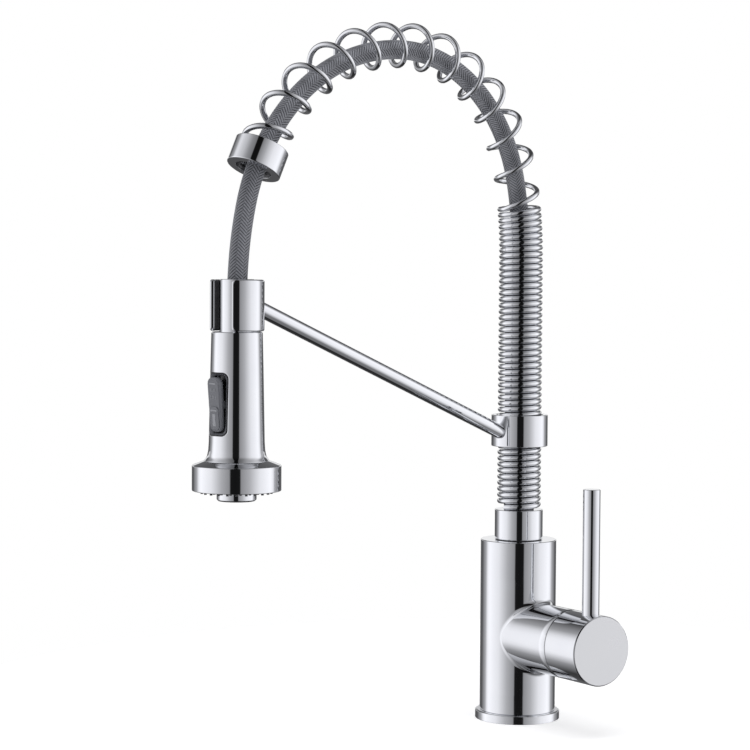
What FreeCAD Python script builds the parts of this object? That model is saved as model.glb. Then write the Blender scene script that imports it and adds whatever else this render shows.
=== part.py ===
"""Pull-down kitchen faucet with a sprung arch, as a parametric FreeCAD document.

Frame: millimetres, +Z up, origin at the centre of the base on the deck plane.
The spout reaches along -Y. The handle's own axis is turned valve_turn about Z
from +X, because the spout swivels on the valve body and is parked off square.
"""
import FreeCAD, Part
import Sketcher
import math
import os
import re

from FreeCAD import Placement, Rotation, Vector

doc = FreeCAD.newDocument("PullDownFaucet")

# --------------------------------------------------------------------------
# Driving dimensions, millimetres and degrees
# --------------------------------------------------------------------------
DIMENSIONS = [
    # overall
    ("reach", 239.0, "riser axis to spray head axis"),
    ("bend_foot", 310.3, "height where the riser starts to bend"),
    ("crown_reach", 105.5, "riser axis to the top of the arch"),
    ("rise_lean", 13.0, "lean from the vertical where the riser's gentle bend ends"),
    ("rise_bend", 230.0, "bend radius out of the riser"),
    ("drop_lean", 13.6, "lean from the vertical where the bend into the head starts"),
    ("drop_bend", 236.0, "bend radius into the head axis"),
    ("hose_sag", 2.9, "hose below the coil centreline at the crown"),
    # fits
    ("close_gap", 0.05, "radial clearance of a close fit"),
    ("free_gap", 0.3, "radial clearance between pieces that move apart"),
    # base and valve body
    ("flange_dia", 56.4, "base flange diameter"),
    ("flange_height", 5.7, "base flange height"),
    ("flange_round", 0.8, "round on the flange's top edge"),
    ("spigot_dia", 46.2, "lower spigot of the body, inside the flange"),
    ("foot_gap", 0.8, "underside of the body above the deck"),
    ("gasket_thick", 1.6, "base gasket thickness"),
    ("gasket_width", 2.4, "base gasket width"),
    ("body_dia", 50.4, "valve body diameter"),
    ("body_top", 120.2, "height of the valve body"),
    ("body_round", 0.6, "round on the body's top edge"),
    ("base_bore_dia", 41.0, "open hollow in the foot of the body"),
    ("base_bore_depth", 33.2, "depth of that hollow from the body's underside"),
    ("inlet_dia", 8.9, "M10x1 supply inlet, tapping size"),
    ("inlet_depth", 11.0, "threaded length of a supply inlet"),
    ("inlet_offset", 10.0, "supply inlet from the body axis, along Y"),
    ("stud_dia", 6.8, "M8 fixing stud hole, tapping size"),
    ("stud_offset", 12.0, "stud hole from the body axis"),
    ("port_dia", 6.0, "water passages in the body"),
    ("swivel_bore_dia", 26.0, "bore that the spout turns in"),
    ("swivel_shoulder", 103.3, "height of the shoulder over the retaining clip"),
    ("chamber_dia", 34.0, "mixed water chamber under the shoulder"),
    ("chamber_floor", 84.0, "height of the chamber floor"),
    # handle side of the valve
    ("valve_turn", -8.2, "handle axis from +X, about Z"),
    ("handle_height", 57.1, "handle axis above the deck"),
    ("hub_dia", 45.2, "side neck and handle hub diameter"),
    ("neck_fillet", 4.0, "fillet between side neck and body"),
    ("seam_reach", 57.9, "body axis to the seam between neck and hub"),
    ("hub_face", 88.9, "body axis to the flat face of the hub"),
    ("hub_chamfer", 0.7, "chamfer round the face of the hub"),
    ("pivot_reach", 39.0, "body axis to the centre the lever tilts about"),
    ("seat_reach", 16.0, "body axis to the cartridge seat"),
    ("cartridge_dia", 34.8, "outside of the cartridge"),
    ("cartridge_wall", 2.2, "wall of the cartridge housing"),
    ("cartridge_length", 28.0, "cartridge housing length"),
    ("disc_thick", 2.6, "fixed ceramic disc thickness"),
    ("slider_thick", 4.5, "moving disc thickness"),
    ("slider_dia", 20.0, "moving disc diameter"),
    ("nut_length", 6.0, "cartridge nut length"),
    ("nut_bore_dia", 25.0, "cartridge nut bore"),
    ("seal_thick", 0.9, "cartridge seat seals"),
    ("cartridge_port", 5.6, "ports of the cartridge"),
    ("inlet_port_drop", 5.0, "inlet ports below the handle axis"),
    ("outlet_port_rise", 8.0, "mixed water port above the handle axis"),
    ("stem_dia", 9.0, "lever stem diameter"),
    ("stem_pin_dia", 4.0, "pivot pin of the stem"),
    ("stem_pin_length", 24.0, "length of that pin"),
    ("stem_tip_dia", 4.0, "ball on the inner end of the stem"),
    ("stem_arm", 14.8, "tilt centre to the middle of that ball"),
    ("tilt_max", 18.0, "lever tilt from shut to full flow"),
    ("lever_dia", 11.1, "lever rod diameter"),
    ("lever_reach", 77.4, "body axis to the lever rod axis, along the handle axis"),
    ("lever_top", 160.0, "height of the lever's tip"),
    ("lever_seat", 9.5, "handle axis to the foot of the lever rod"),
    ("hub_wall", 4.1, "wall of the hub"),
    ("boss_dia", 18.0, "stem boss inside the hub"),
    ("screw_dia", 5.0, "M5 grub screws"),
    # riser
    ("ferrule_dia", 32.0, "chrome ferrule on the body"),
    ("ferrule_top", 140.3, "top of the ferrule"),
    ("washer_thick", 0.4, "bearing washer under the ferrule"),
    ("spigot_bore_dia", 14.4, "bore of the swivel spigot"),
    ("spigot_low", 98.0, "underside of the swivel spigot"),
    ("spigot_high", 134.0, "top of the swivel spigot"),
    ("pipe_dia", 20.0, "riser pipe outside diameter"),
    ("pipe_bore_dia", 16.5, "riser pipe bore"),
    ("pipe_low", 118.5, "foot of the riser pipe"),
    ("oring_dia", 2.4, "O-ring section"),
    ("clip_thick", 1.5, "retaining clip thickness"),
    ("wire_dia", 3.6, "spring wire diameter"),
    ("coil_dia", 29.2, "outside diameter of the spring"),
    ("coil_pitch", 4.08, "pitch of the close-wound spring"),
    ("close_turns", 7, "close-wound turns at the foot of the arch"),
    ("open_turns", 13, "open turns over the arch"),
    ("end_turns", 1, "closed turns inside the end collar"),
    ("end_collar_grow", 4.2, "end collar diameter over the spring's"),
    ("end_collar_length", 16.2, "spring end collar length"),
    ("end_collar_rise", 80.2, "middle of the end collar above the end of the arch"),
    ("end_collar_lip", 3.0, "thickness of the collar's lower lip"),
    ("end_bush_bore_dia", 16.4, "opening of the bush in the end collar"),
    # arm and clip
    ("arm_collar_grow", 8.3, "arm collar diameter over the spring's"),
    ("arm_collar_low", 182.7, "underside of the arm collar"),
    ("arm_collar_high", 203.7, "top of the arm collar"),
    ("arm_collar_wall", 3.0, "wall of the arm collar"),
    ("arm_dia", 9.3, "arm rod diameter"),
    ("arm_root", 185.3, "height where the rod's axis meets the riser axis"),
    ("arm_entry", 20.2, "where the rod's axis meets the head axis, above the clip's foot"),
    ("holder_dia", 32.6, "holder clip diameter"),
    ("holder_low_drop", 31.9, "underside of the holder clip, below the neck's top"),
    ("holder_high_drop", 1.2, "top of the holder clip, below the neck's top"),
    ("holder_wall", 3.1, "wall of the holder clip"),
    ("holder_opening", 80.0, "angle left open at the front of the clip"),
    ("holder_round", 2.4, "round on the corners of the clip's lips"),
    ("liner_gap", 0.35, "clip liner to head neck"),
    # hose
    ("hose_dia", 12.0, "braided spray hose diameter"),
    ("hose_low", 104.0, "lower end of the hose in its nut"),
    ("hose_end_drop", 18.6, "upper end of the hose in the head's swivel nut, below the neck's top"),
    # spray head
    ("neck_dia", 20.8, "head neck diameter"),
    ("neck_wall", 1.2, "wall of the head neck"),
    ("neck_rise", 8.6, "neck top above the end of the arch"),
    ("head_top_drop", 32.2, "top of the head body, below the neck's top"),
    ("head_top_grow", -1.0, "head body's top, over its diameter above the rocker"),
    ("head_mid_dia", 31.6, "head body diameter above the rocker"),
    ("head_mid_height_drop", 52.2, "where the diameter above the rocker is reached, below the neck's top"),
    ("head_low_grow", 1.8, "head body below the rocker, over its diameter above the rocker"),
    ("head_low_height_drop", 97.0, "where the diameter below the rocker is reached, below the neck's top"),
    ("head_flare_grow", 8.0, "head body at the foot of the flare, over its diameter above the rocker"),
    ("head_flare_height_drop", 109.4, "the foot of the flare, below the neck's top"),
    ("head_wall", 1.6, "wall of the head body"),
    ("bell_dia", 53.5, "bell ring diameter"),
    ("bell_low_drop", 127.2, "underside of the bell ring, below the neck's top"),
    ("bell_high_drop", 112.2, "top of the bell ring's side, below the neck's top"),
    ("bell_wall", 2.2, "wall of the bell ring"),
    ("face_inset", 1.0, "spray face above the underside of the bell ring"),
    ("face_thick", 3.0, "spray face thickness"),
    ("nub_dia", 2.4, "spray nub diameter"),
    ("nub_drop", 2.6, "spray nub below the spray face"),
    ("outer_nubs", 24, "nubs in the outer ring"),
    ("outer_nub_radius", 21.4, "radius of the outer ring of nubs"),
    ("inner_nubs", 18, "nubs in the inner ring"),
    ("inner_nub_radius", 16.8, "radius of the inner ring of nubs"),
    ("aerator_dia", 23.9, "aerator shell diameter"),
    ("aerator_low_drop", 133.4, "underside of the aerator, below the neck's top"),
    ("aerator_high_drop", 118.6, "top of the aerator shell, below the neck's top"),
    ("aerator_wall", 1.3, "wall of the aerator shell"),
    ("mesh_bar", 0.9, "bar width of the aerator grid"),
    ("mesh_pitch", 3.6, "spacing of the aerator grid"),
    # rocker switch
    ("window_low_drop", 93.8, "foot of the rocker window, below the neck's top"),
    ("window_high_drop", 56.4, "head of the rocker window, below the neck's top"),
    ("window_width", 17.6, "width of the rocker window"),
    ("window_round", 3.6, "corner radius of the rocker window"),
    ("frame_bar", 1.7, "bar width of the rocker surround"),
    ("rocker_gap", 0.5, "gap round the rocker"),
    ("rocker_tilt", 7.0, "rocker travel"),
    ("rocker_pin_dia", 2.4, "rocker pivot pin diameter"),
    ("rocker_pin_inset", 4.2, "rocker pin under the head body's surface"),
    ("spool_dia", 5.2, "diverter spool diameter"),
    ("spool_height_drop", 63.6, "the spool's axis, below the neck's top"),
]

# Sizes that follow from the driving ones
DERIVED = [
    ("rise_crown", "=(crown_reach - rise_bend * (1 - cos(rise_lean))) / cos(rise_lean)"),
    ("crown_height", "=bend_foot + rise_bend * sin(rise_lean) + rise_crown * (1 - sin(rise_lean))"),
    ("drop_crown", "=(reach - crown_reach - drop_bend * (1 - cos(drop_lean))) / cos(drop_lean)"),
    ("drop_foot", "=crown_height - drop_bend * sin(drop_lean) - drop_crown * (1 - sin(drop_lean))"),
    ("neck_top", "=drop_foot + neck_rise"),
    ("pipe_top", "=bend_foot + 0.7"),
    ("end_collar_height", "=drop_foot + end_collar_rise"),
    ("end_collar_dia", "=coil_dia + end_collar_grow"),
    ("arm_collar_dia", "=coil_dia + arm_collar_grow"),
    ("hose_end", "=neck_top - hose_end_drop"),
    ("head_top", "=neck_top - head_top_drop"),
    ("head_mid_height", "=neck_top - head_mid_height_drop"),
    ("head_low_height", "=neck_top - head_low_height_drop"),
    ("head_flare_height", "=neck_top - head_flare_height_drop"),
    ("bell_low", "=neck_top - bell_low_drop"),
    ("bell_high", "=neck_top - bell_high_drop"),
    ("aerator_low", "=neck_top - aerator_low_drop"),
    ("aerator_high", "=neck_top - aerator_high_drop"),
    ("window_low", "=neck_top - window_low_drop"),
    ("window_high", "=neck_top - window_high_drop"),
    ("spool_height", "=neck_top - spool_height_drop"),
    ("holder_low", "=neck_top - holder_low_drop"),
    ("holder_high", "=neck_top - holder_high_drop"),
    ("head_top_dia", "=head_mid_dia + head_top_grow"),
    ("head_low_dia", "=head_mid_dia + head_low_grow"),
    ("head_flare_dia", "=head_mid_dia + head_flare_grow"),
    ("arm_slope", "=atan((holder_low + arm_entry - arm_root) / reach)"),
    ("rocker_pin_depth", "=head_mid_dia / 2 - rocker_pin_inset"),
    ("body_rad", "=body_dia / 2"),
    ("hub_rad", "=hub_dia / 2"),
    ("seam_ball", "=sqrt((seam_reach - pivot_reach)^2 + (hub_dia / 2)^2)"),
    ("foot_ceiling", "=foot_gap + base_bore_depth"),
    ("cartridge_rad", "=cartridge_dia / 2"),
    ("housing_bore", "=cartridge_dia / 2 - cartridge_wall"),
    ("housing_low", "=seat_reach + seal_thick"),
    ("disc_low", "=seat_reach + seal_thick + cartridge_wall"),
    ("slider_low", "=seat_reach + seal_thick + cartridge_wall + disc_thick"),
    ("slider_high", "=seat_reach + seal_thick + cartridge_wall + disc_thick + slider_thick"),
    ("housing_high", "=seat_reach + seal_thick + cartridge_length"),
    ("nut_high", "=seat_reach + seal_thick + cartridge_length + nut_length"),
    ("spigot_rad", "=swivel_bore_dia / 2 - close_gap"),
    ("groove_rad", "=swivel_bore_dia / 2 - close_gap - oring_dia - close_gap"),
    ("clip_low", "=swivel_shoulder - free_gap - clip_thick"),
    ("pipe_rad", "=pipe_dia / 2"),
    ("coil_rad", "=coil_dia / 2"),
    ("coil_low", "=ferrule_top + wire_dia / 2 + 2 * close_gap"),
    ("hose_rad", "=hose_dia / 2"),
    ("holder_rad", "=holder_dia / 2"),
    ("neck_rad", "=neck_dia / 2"),
    ("liner_rad", "=neck_dia / 2 + liner_gap"),
    ("bell_rad", "=bell_dia / 2"),
    ("face_low", "=bell_low + face_inset"),
    ("face_high", "=bell_low + face_inset + face_thick"),
    ("aerator_rad", "=aerator_dia / 2"),
    ("core_rad", "=head_mid_dia / 2 - head_wall - 3.2"),
    ("rocker_height", "=(window_low + window_high) / 2"),
]

sheet = doc.addObject("Spreadsheet::Sheet", "Dimensions")
for row, (alias, value, note) in enumerate(DIMENSIONS, start=1):
    sheet.set(f"A{row}", alias)
    sheet.set(f"B{row}", str(value))
    sheet.set(f"C{row}", note)
    sheet.setAlias(f"B{row}", alias)
for row, (alias, formula) in enumerate(DERIVED, start=len(DIMENSIONS) + 2):
    sheet.set(f"A{row}", alias)
    sheet.set(f"B{row}", formula)
    sheet.setAlias(f"B{row}", alias)
doc.recompute()

ALIASES = {entry[0] for entry in DIMENSIONS} | {entry[0] for entry in DERIVED}


def bound(expression):
    """An expression of sheet cells, with each alias made a reference."""
    def refer(match):
        word = match.group(0)
        return f"Dimensions.{word}" if word in ALIASES else word
    return re.sub(r"[a-z_]+", refer, str(expression))


def size(expression):
    """The number that an expression of sheet cells comes to."""
    return float(sheet.evalExpression(bound(expression)))


# --------------------------------------------------------------------------
# Frames of the sub-assemblies
# --------------------------------------------------------------------------
VALVE = Placement(Vector(), Rotation(Vector(0, 0, 1), size("valve_turn")))
ALONG_X = Rotation(Vector(0, 1, 0), 90)
HANDLE = VALVE * Placement(Vector(0, 0, size("handle_height")), ALONG_X)
HEAD = Placement(Vector(0, -size("reach"), 0), Rotation())
HOME = Placement()

nodes = {}


def node(label, obj, place=HOME):
    """Name a finished sub-part and put it in its place."""
    obj.Label = label
    obj.Placement = place
    nodes[label] = obj
    return obj


# --------------------------------------------------------------------------
# Ways of making a piece
# --------------------------------------------------------------------------
def origin_plane(body, role):
    return next(part for part in body.Origin.OriginFeatures if part.Role == role)


def outline_sketch(body, name, role, outline):
    """A closed outline of straight edges whose corners are bound to the sheet."""
    sketch = body.newObject("Sketcher::SketchObject", name)
    sketch.AttachmentSupport = [(origin_plane(body, role), "")]
    sketch.MapMode = "FlatFace"
    corners = [Vector(size(across), size(up), 0) for across, up in outline]
    count = len(corners)
    for index in range(count):
        edge = Part.LineSegment(corners[index], corners[(index + 1) % count])
        sketch.addGeometry(edge, False)
    for index in range(count):
        sketch.addConstraint(Sketcher.Constraint("Coincident", index, 2, (index + 1) % count, 1))
    for index, (across, up) in enumerate(outline):
        for axis, prefix, expression, number in (
            ("DistanceX", "across", across, corners[index].x),
            ("DistanceY", "up", up, corners[index].y),
        ):
            made = sketch.addConstraint(Sketcher.Constraint(axis, -1, 1, index, 1, number))
            sketch.renameConstraint(made, f"{prefix}{index}")
            sketch.setExpression(f"Constraints.{prefix}{index}", bound(expression))
    return sketch


def turned(name, outline):
    """A turned piece: an outline of (radius, height) corners spun about Z."""
    body = doc.addObject("PartDesign::Body", name)
    sketch = outline_sketch(body, f"{name}_outline", "XZ_Plane", outline)
    spin = body.newObject("PartDesign::Revolution", f"{name}_spin")
    spin.Profile = sketch
    spin.ReferenceAxis = (sketch, ["V_Axis"])
    spin.Angle = 360
    return body


def ring(name, outer, inner, low, high):
    return turned(name, [(inner, low), (outer, low), (outer, high), (inner, high)])


def padded_plate(name, outline, width):
    """A side outline of (depth, height) corners, as thick as width along X."""
    body = doc.addObject("PartDesign::Body", name)
    sketch = outline_sketch(body, f"{name}_outline", "YZ_Plane", outline)
    pad = body.newObject("PartDesign::Pad", f"{name}_pad")
    pad.Profile = sketch
    pad.setExpression("Length", bound(width))
    pad.Midplane = True
    return body


def stand(obj, x="0", y="0", z="0", rotation=None):
    """Bind the place of a primitive to the sheet."""
    if rotation is not None:
        obj.Placement = Placement(Vector(), rotation)
    for axis, expression in (("x", x), ("y", y), ("z", z)):
        if expression != "0":
            obj.setExpression(f"Placement.Base.{axis}", bound(expression))
    return obj


def rod(name, radius, length, x="0", y="0", z="0", rotation=None):
    """A cylinder from a point, along Z unless it is turned."""
    obj = doc.addObject("Part::Cylinder", name)
    obj.setExpression("Radius", bound(radius))
    obj.setExpression("Height", bound(length))
    return stand(obj, x, y, z, rotation)


def block(name, across, deep, high, x="0", y="0", z="0"):
    """A box with its low corner at a point."""
    obj = doc.addObject("Part::Box", name)
    for prop, expression in (("Length", across), ("Width", deep), ("Height", high)):
        obj.setExpression(prop, bound(expression))
    return stand(obj, x, y, z)


def ball(name, radius, x="0", y="0", z="0"):
    obj = doc.addObject("Part::Sphere", name)
    obj.setExpression("Radius", bound(radius))
    return stand(obj, x, y, z)


def torus(name, radius, section, z="0"):
    obj = doc.addObject("Part::Torus", name)
    obj.setExpression("Radius1", bound(radius))
    obj.setExpression("Radius2", bound(section))
    return stand(obj, z=z)


def joined(name, *pieces):
    obj = doc.addObject("Part::MultiFuse", name)
    obj.Shapes = list(pieces)
    return obj


def less(name, base, *tools):
    obj = doc.addObject("Part::Cut", name)
    obj.Base = base
    obj.Tool = tools[0] if len(tools) == 1 else joined(f"{name}_tools", *tools)
    return obj


def shared(name, *pieces):
    obj = doc.addObject("Part::MultiCommon", name)
    obj.Shapes = list(pieces)
    return obj


def rounded(name, base, radius, wanted):
    """Fillet every edge of base that the test accepts."""
    doc.recompute()
    picked = [i for i, edge in enumerate(base.Shape.Edges, start=1) if wanted(edge)]
    if not picked:
        raise RuntimeError(f"{name}: no edge to round")
    obj = doc.addObject("Part::Fillet", name)
    obj.Base = base
    obj.Edges = [(i, size(radius), size(radius)) for i in picked]
    return obj


def edge_points(edge, count=7):
    first, last = edge.ParameterRange
    step = (last - first) / (count - 1)
    return [edge.valueAt(first + step * k) for k in range(count)]


def chrome_edge(radius, cut, low, high, inner):
    """A plain sleeve with a small chamfer on both outer edges."""
    return [
        (inner, low), (f"{radius} - {cut}", low), (radius, f"{low} + {cut}"),
        (radius, f"{high} - {cut}"), (f"{radius} - {cut}", high), (inner, high),
    ]


# --------------------------------------------------------------------------
# Base: flange and gasket
# --------------------------------------------------------------------------
gasket_in = "flange_dia / 2 - 1.2 - gasket_width"
gasket_out = "flange_dia / 2 - 1.2"
node("base_flange", turned("BaseFlange", [
    ("spigot_dia / 2 + close_gap", "0"),
    (f"{gasket_in} - close_gap", "0"),
    (f"{gasket_in} - close_gap", "gasket_thick"),
    (f"{gasket_out} + close_gap", "gasket_thick"),
    (f"{gasket_out} + close_gap", "0"),
    ("flange_dia / 2", "0"),
    ("flange_dia / 2", "flange_height - flange_round"),
    ("flange_dia / 2 - flange_round", "flange_height"),
    ("spigot_dia / 2 + close_gap", "flange_height"),
]))
node("base_gasket", ring("BaseGasket", gasket_out, gasket_in, "0", "gasket_thick"))

# --------------------------------------------------------------------------
# Valve body: turned casting with a side neck for the cartridge
# --------------------------------------------------------------------------
casting = turned("Casting", [
    ("base_bore_dia / 2", "foot_gap"),
    ("spigot_dia / 2", "foot_gap"),
    ("spigot_dia / 2", "flange_height"),
    ("body_rad", "flange_height"),
    ("body_rad", "body_top - body_round"),
    ("body_rad - body_round", "body_top"),
    ("swivel_bore_dia / 2", "body_top"),
    ("swivel_bore_dia / 2", "swivel_shoulder"),
    ("chamber_dia / 2", "swivel_shoulder"),
    ("chamber_dia / 2", "chamber_floor"),
    ("0", "chamber_floor"),
    ("0", "foot_ceiling"),
    ("base_bore_dia / 2", "foot_ceiling"),
])
neck = rod("SideNeck", "hub_rad", "seam_reach - 1", z="handle_height", rotation=ALONG_X)
neck_tip = shared(
    "NeckTip",
    rod("NeckTipRod", "hub_rad", "seam_ball", x="pivot_reach", z="handle_height", rotation=ALONG_X),
    ball("NeckTipBall", "seam_ball", x="pivot_reach", z="handle_height"),
)
raw_body = joined("RawBody", casting, neck, neck_tip)


def on_neck_root(edge):
    return all(
        abs(math.hypot(p.x, p.y) - size("body_rad")) < 0.01
        and abs(math.hypot(p.y, p.z - size("handle_height")) - size("hub_rad")) < 0.01
        for p in edge_points(edge)
    )


blended_body = rounded("BlendedBody", raw_body, "neck_fillet", on_neck_root)

PORTS = [
    ("hot", "inlet_offset", "handle_height - inlet_port_drop"),
    ("cold", "-inlet_offset", "handle_height - inlet_port_drop"),
    ("mixed", "0", "handle_height + outlet_port_rise"),
]
body_cuts = [
    rod("CartridgeBore", "cartridge_rad + close_gap", "seam_reach", x="seat_reach",
        z="handle_height", rotation=ALONG_X),
    rod("StudHole", "stud_dia / 2", "inlet_depth + 5", x="-stud_offset", z="foot_ceiling - 1"),
    rod("MixedRise", "port_dia / 2", "chamber_floor - handle_height", x="seat_reach / 2",
        z="handle_height + outlet_port_rise"),
]
for side, y, z in PORTS:
    start = "seat_reach / 2" if side == "mixed" else "0"
    body_cuts.append(rod(f"SeatPort_{side}", "port_dia / 2", f"seat_reach + 1 - ({start})",
                         x=start, y=y, z=z, rotation=ALONG_X))
for side, y, z in PORTS[:2]:
    body_cuts.append(rod(f"Inlet_{side}", "inlet_dia / 2", "inlet_depth + 1", y=y,
                         z="foot_ceiling - 1"))
    body_cuts.append(rod(f"InletRise_{side}", "port_dia / 2", f"{z} - foot_ceiling", y=y,
                         z="foot_ceiling"))
node("valve_body", less("ValveBody", blended_body, *body_cuts), VALVE)

# --------------------------------------------------------------------------
# Cartridge, along the handle axis
# --------------------------------------------------------------------------


def at_ports(name, radius, low, length):
    """One short rod at each port of the cartridge, along the handle axis."""
    return [
        rod(f"{name}_{side}", radius, length, x=low, y=y, z=z, rotation=ALONG_X)
        for side, y, z in PORTS
    ]


def drum(name, radius, low, high):
    """A solid disc on the handle axis."""
    return rod(name, radius, f"{high} - ({low})", x=low, z="handle_height", rotation=ALONG_X)


node("cartridge_seals", less(
    "CartridgeSeals",
    joined("SealRims", *at_ports("SealRim", "cartridge_port / 2 + 1.6", "seat_reach", "seal_thick")),
    *at_ports("SealHole", "cartridge_port / 2 + 0.2", "seat_reach - 1", "seal_thick + 2"),
), VALVE)
node("cartridge_housing", less(
    "CartridgeHousing",
    drum("HousingOutside", "cartridge_rad", "housing_low", "housing_high"),
    drum("HousingInside", "housing_bore", "disc_low", "housing_high + 1"),
    *at_ports("HousingPort", "cartridge_port / 2", "housing_low - 1", "cartridge_wall + 2"),
), VALVE)
node("fixed_disc", less(
    "FixedDisc",
    drum("FixedDiscBlank", "housing_bore - free_gap", "disc_low", "slider_low"),
    *at_ports("FixedDiscPort", "cartridge_port / 2 - 0.4", "disc_low - 1", "disc_thick + 2"),
), VALVE)
node("moving_disc", less(
    "MovingDisc",
    drum("MovingDiscBlank", "slider_dia / 2", "slider_low", "slider_high"),
    drum("StemPocket", "stem_tip_dia / 2 + free_gap + close_gap", "slider_low + 0.5", "slider_high + 1"),
), VALVE)
slot_half = "stem_dia / 2 + 0.7"
node("cartridge_carrier", less(
    "CartridgeCarrier",
    drum("CarrierBlank", "housing_bore - free_gap", "slider_high + 0.4", "housing_high - 1"),
    block("StemSlot", "cartridge_length", f"2 * ({slot_half})", "2 * (stem_dia / 2 + 3)",
          x="slider_high", y=f"-({slot_half})", z="handle_height - stem_dia / 2 - 3"),
    rod("CarrierPinHole", "stem_pin_dia / 2 + close_gap", "cartridge_dia", x="pivot_reach",
        y="cartridge_rad", z="handle_height", rotation=Rotation(Vector(1, 0, 0), 90)),
), VALVE)
node("stem_pin", rod(
    "StemPin", "stem_pin_dia / 2", "stem_pin_length"),
    VALVE * Placement(
        Vector(size("pivot_reach"), size("stem_pin_length") / 2, size("handle_height")),
        Rotation(Vector(1, 0, 0), 90)))
node("cartridge_nut", ring("CartridgeNut", "cartridge_rad", "nut_bore_dia / 2",
                           "housing_high", "nut_high"), HANDLE)
swing_rad = "stem_dia / 2 + seam_ball * sin(tilt_max) + 1.6"
node("bonnet_ring", turned("BonnetRing", [
    (swing_rad, "nut_high"),
    ("cartridge_rad", "nut_high"),
    ("cartridge_rad", "pivot_reach + sqrt(seam_ball^2 - cartridge_rad^2) - close_gap"),
    (swing_rad, f"pivot_reach + sqrt(seam_ball^2 - ({swing_rad})^2) - close_gap"),
]), HANDLE)

# --------------------------------------------------------------------------
# Lever handle
# --------------------------------------------------------------------------
stem_foot = "pivot_reach - stem_dia / 2 - 1.5"
stem_end = "lever_reach + 3"
node("lever_stem", less(
    "LeverStem",
    joined(
        "StemBlank",
        ball("StemBall", "stem_tip_dia / 2", x="pivot_reach - stem_arm", z="handle_height"),
        drum("StemNeck", "stem_tip_dia / 2 - 0.5", "pivot_reach - stem_arm", "pivot_reach"),
        drum("StemRod", "stem_dia / 2", stem_foot, stem_end),
    ),
    rod("StemPinHole", "stem_pin_dia / 2 + close_gap", "cartridge_dia", x="pivot_reach",
        y="cartridge_rad", z="handle_height", rotation=Rotation(Vector(1, 0, 0), 90)),
), VALVE)

hub_inside = "hub_rad - hub_wall"
hub_floor = "hub_face - 5"
boss_low = "pivot_reach + seam_ball + free_gap"
hub_shell = less(
    "HubShell",
    turned("HubBlank", [
        ("0", "seam_reach"), ("hub_rad", "seam_reach"), ("hub_rad", "hub_face - hub_chamfer"),
        ("hub_rad - hub_chamfer", "hub_face"), ("0", "hub_face"),
    ]),
    ball("SeamBall", "seam_ball + free_gap", z="pivot_reach"),
    rod("HubCavity", hub_inside, f"{hub_floor} - seam_reach", z="seam_reach"),
)
hub_shell.Placement = Placement(Vector(0, 0, size("handle_height")), ALONG_X)
hub_bosses = joined(
    "HubBosses",
    hub_shell,
    drum("StemBoss", "boss_dia / 2", f"{boss_low} + 0.5", "hub_face - 2"),
    rod("LeverBoss", "lever_dia / 2 + 2.4", "hub_rad - 4", x="lever_reach", z="handle_height + 2"),
    rod("ScrewBoss", "screw_dia / 2 + 2.5", "hub_rad - 4", x="lever_reach",
        z="handle_height - hub_rad + 2"),
)
node("handle_hub", less(
    "HandleHub",
    hub_bosses,
    drum("StemSocket", "stem_dia / 2 + close_gap", "seam_reach", f"{stem_end} + 0.3"),
    rod("LeverSocket", "lever_dia / 2 + close_gap", "hub_rad", x="lever_reach",
        z="handle_height + lever_seat"),
    rod("ScrewHole", "screw_dia / 2 + close_gap", "hub_rad", x="lever_reach",
        z="handle_height - hub_rad"),
    rod("PlugHole", "screw_dia / 2 + 0.6", "4.2", x="lever_reach", z="handle_height - hub_rad"),
), VALVE)
AT_LEVER = VALVE * Placement(Vector(size("lever_reach"), 0, 0), Rotation())
node("lever_rod", turned("LeverRod", [
    ("0", "handle_height + lever_seat"),
    ("lever_dia / 2", "handle_height + lever_seat"),
    ("lever_dia / 2", "lever_top - 0.4"),
    ("lever_dia / 2 - 0.4", "lever_top"),
    ("0", "lever_top"),
]), AT_LEVER)
node("hub_set_screw", turned("HubSetScrew", [
    ("1.25", "handle_height - stem_dia / 2 - 6"),
    ("screw_dia / 2", "handle_height - stem_dia / 2 - 6"),
    ("screw_dia / 2", "handle_height - stem_dia / 2 - 0.8"),
    ("screw_dia / 2 - 0.8", "handle_height - stem_dia / 2 - 0.1"),
    ("0", "handle_height - stem_dia / 2 - 0.1"),
    ("0", "handle_height - stem_dia / 2 - 3.2"),
    ("1.25", "handle_height - stem_dia / 2 - 3.2"),
]), AT_LEVER)
node("index_plug", ring("IndexPlug", "screw_dia / 2 + 0.5", "0", "handle_height - hub_rad + 0.3",
                        "handle_height - hub_rad + 3.6"), AT_LEVER)

# --------------------------------------------------------------------------
# Swivel and riser
# --------------------------------------------------------------------------
spigot_steps = [
    ("spigot_bore_dia / 2", "spigot_low"),
    ("spigot_rad", "spigot_low"),
    ("spigot_rad", "clip_low - close_gap"),
    ("spigot_rad - 2", "clip_low - close_gap"),
    ("spigot_rad - 2", "clip_low + clip_thick + close_gap"),
    ("spigot_rad", "clip_low + clip_thick + close_gap"),
]
ORING_HEIGHTS = ("swivel_shoulder + 4.6", "swivel_shoulder + 10.2")
for middle in ORING_HEIGHTS:
    spigot_steps += [
        ("spigot_rad", f"{middle} - oring_dia / 2 - 0.2"),
        ("groove_rad", f"{middle} - oring_dia / 2 - 0.2"),
        ("groove_rad", f"{middle} + oring_dia / 2 + 0.2"),
        ("spigot_rad", f"{middle} + oring_dia / 2 + 0.2"),
    ]
spigot_steps += [
    ("spigot_rad", "body_top"),
    ("pipe_rad + 2.4", "body_top"),
    ("pipe_rad + 2.4", "spigot_high"),
    ("pipe_rad + close_gap", "spigot_high"),
    ("pipe_rad + close_gap", "pipe_low"),
    ("spigot_bore_dia / 2", "pipe_low"),
]
node("swivel_spigot", turned("SwivelSpigot", spigot_steps))
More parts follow.
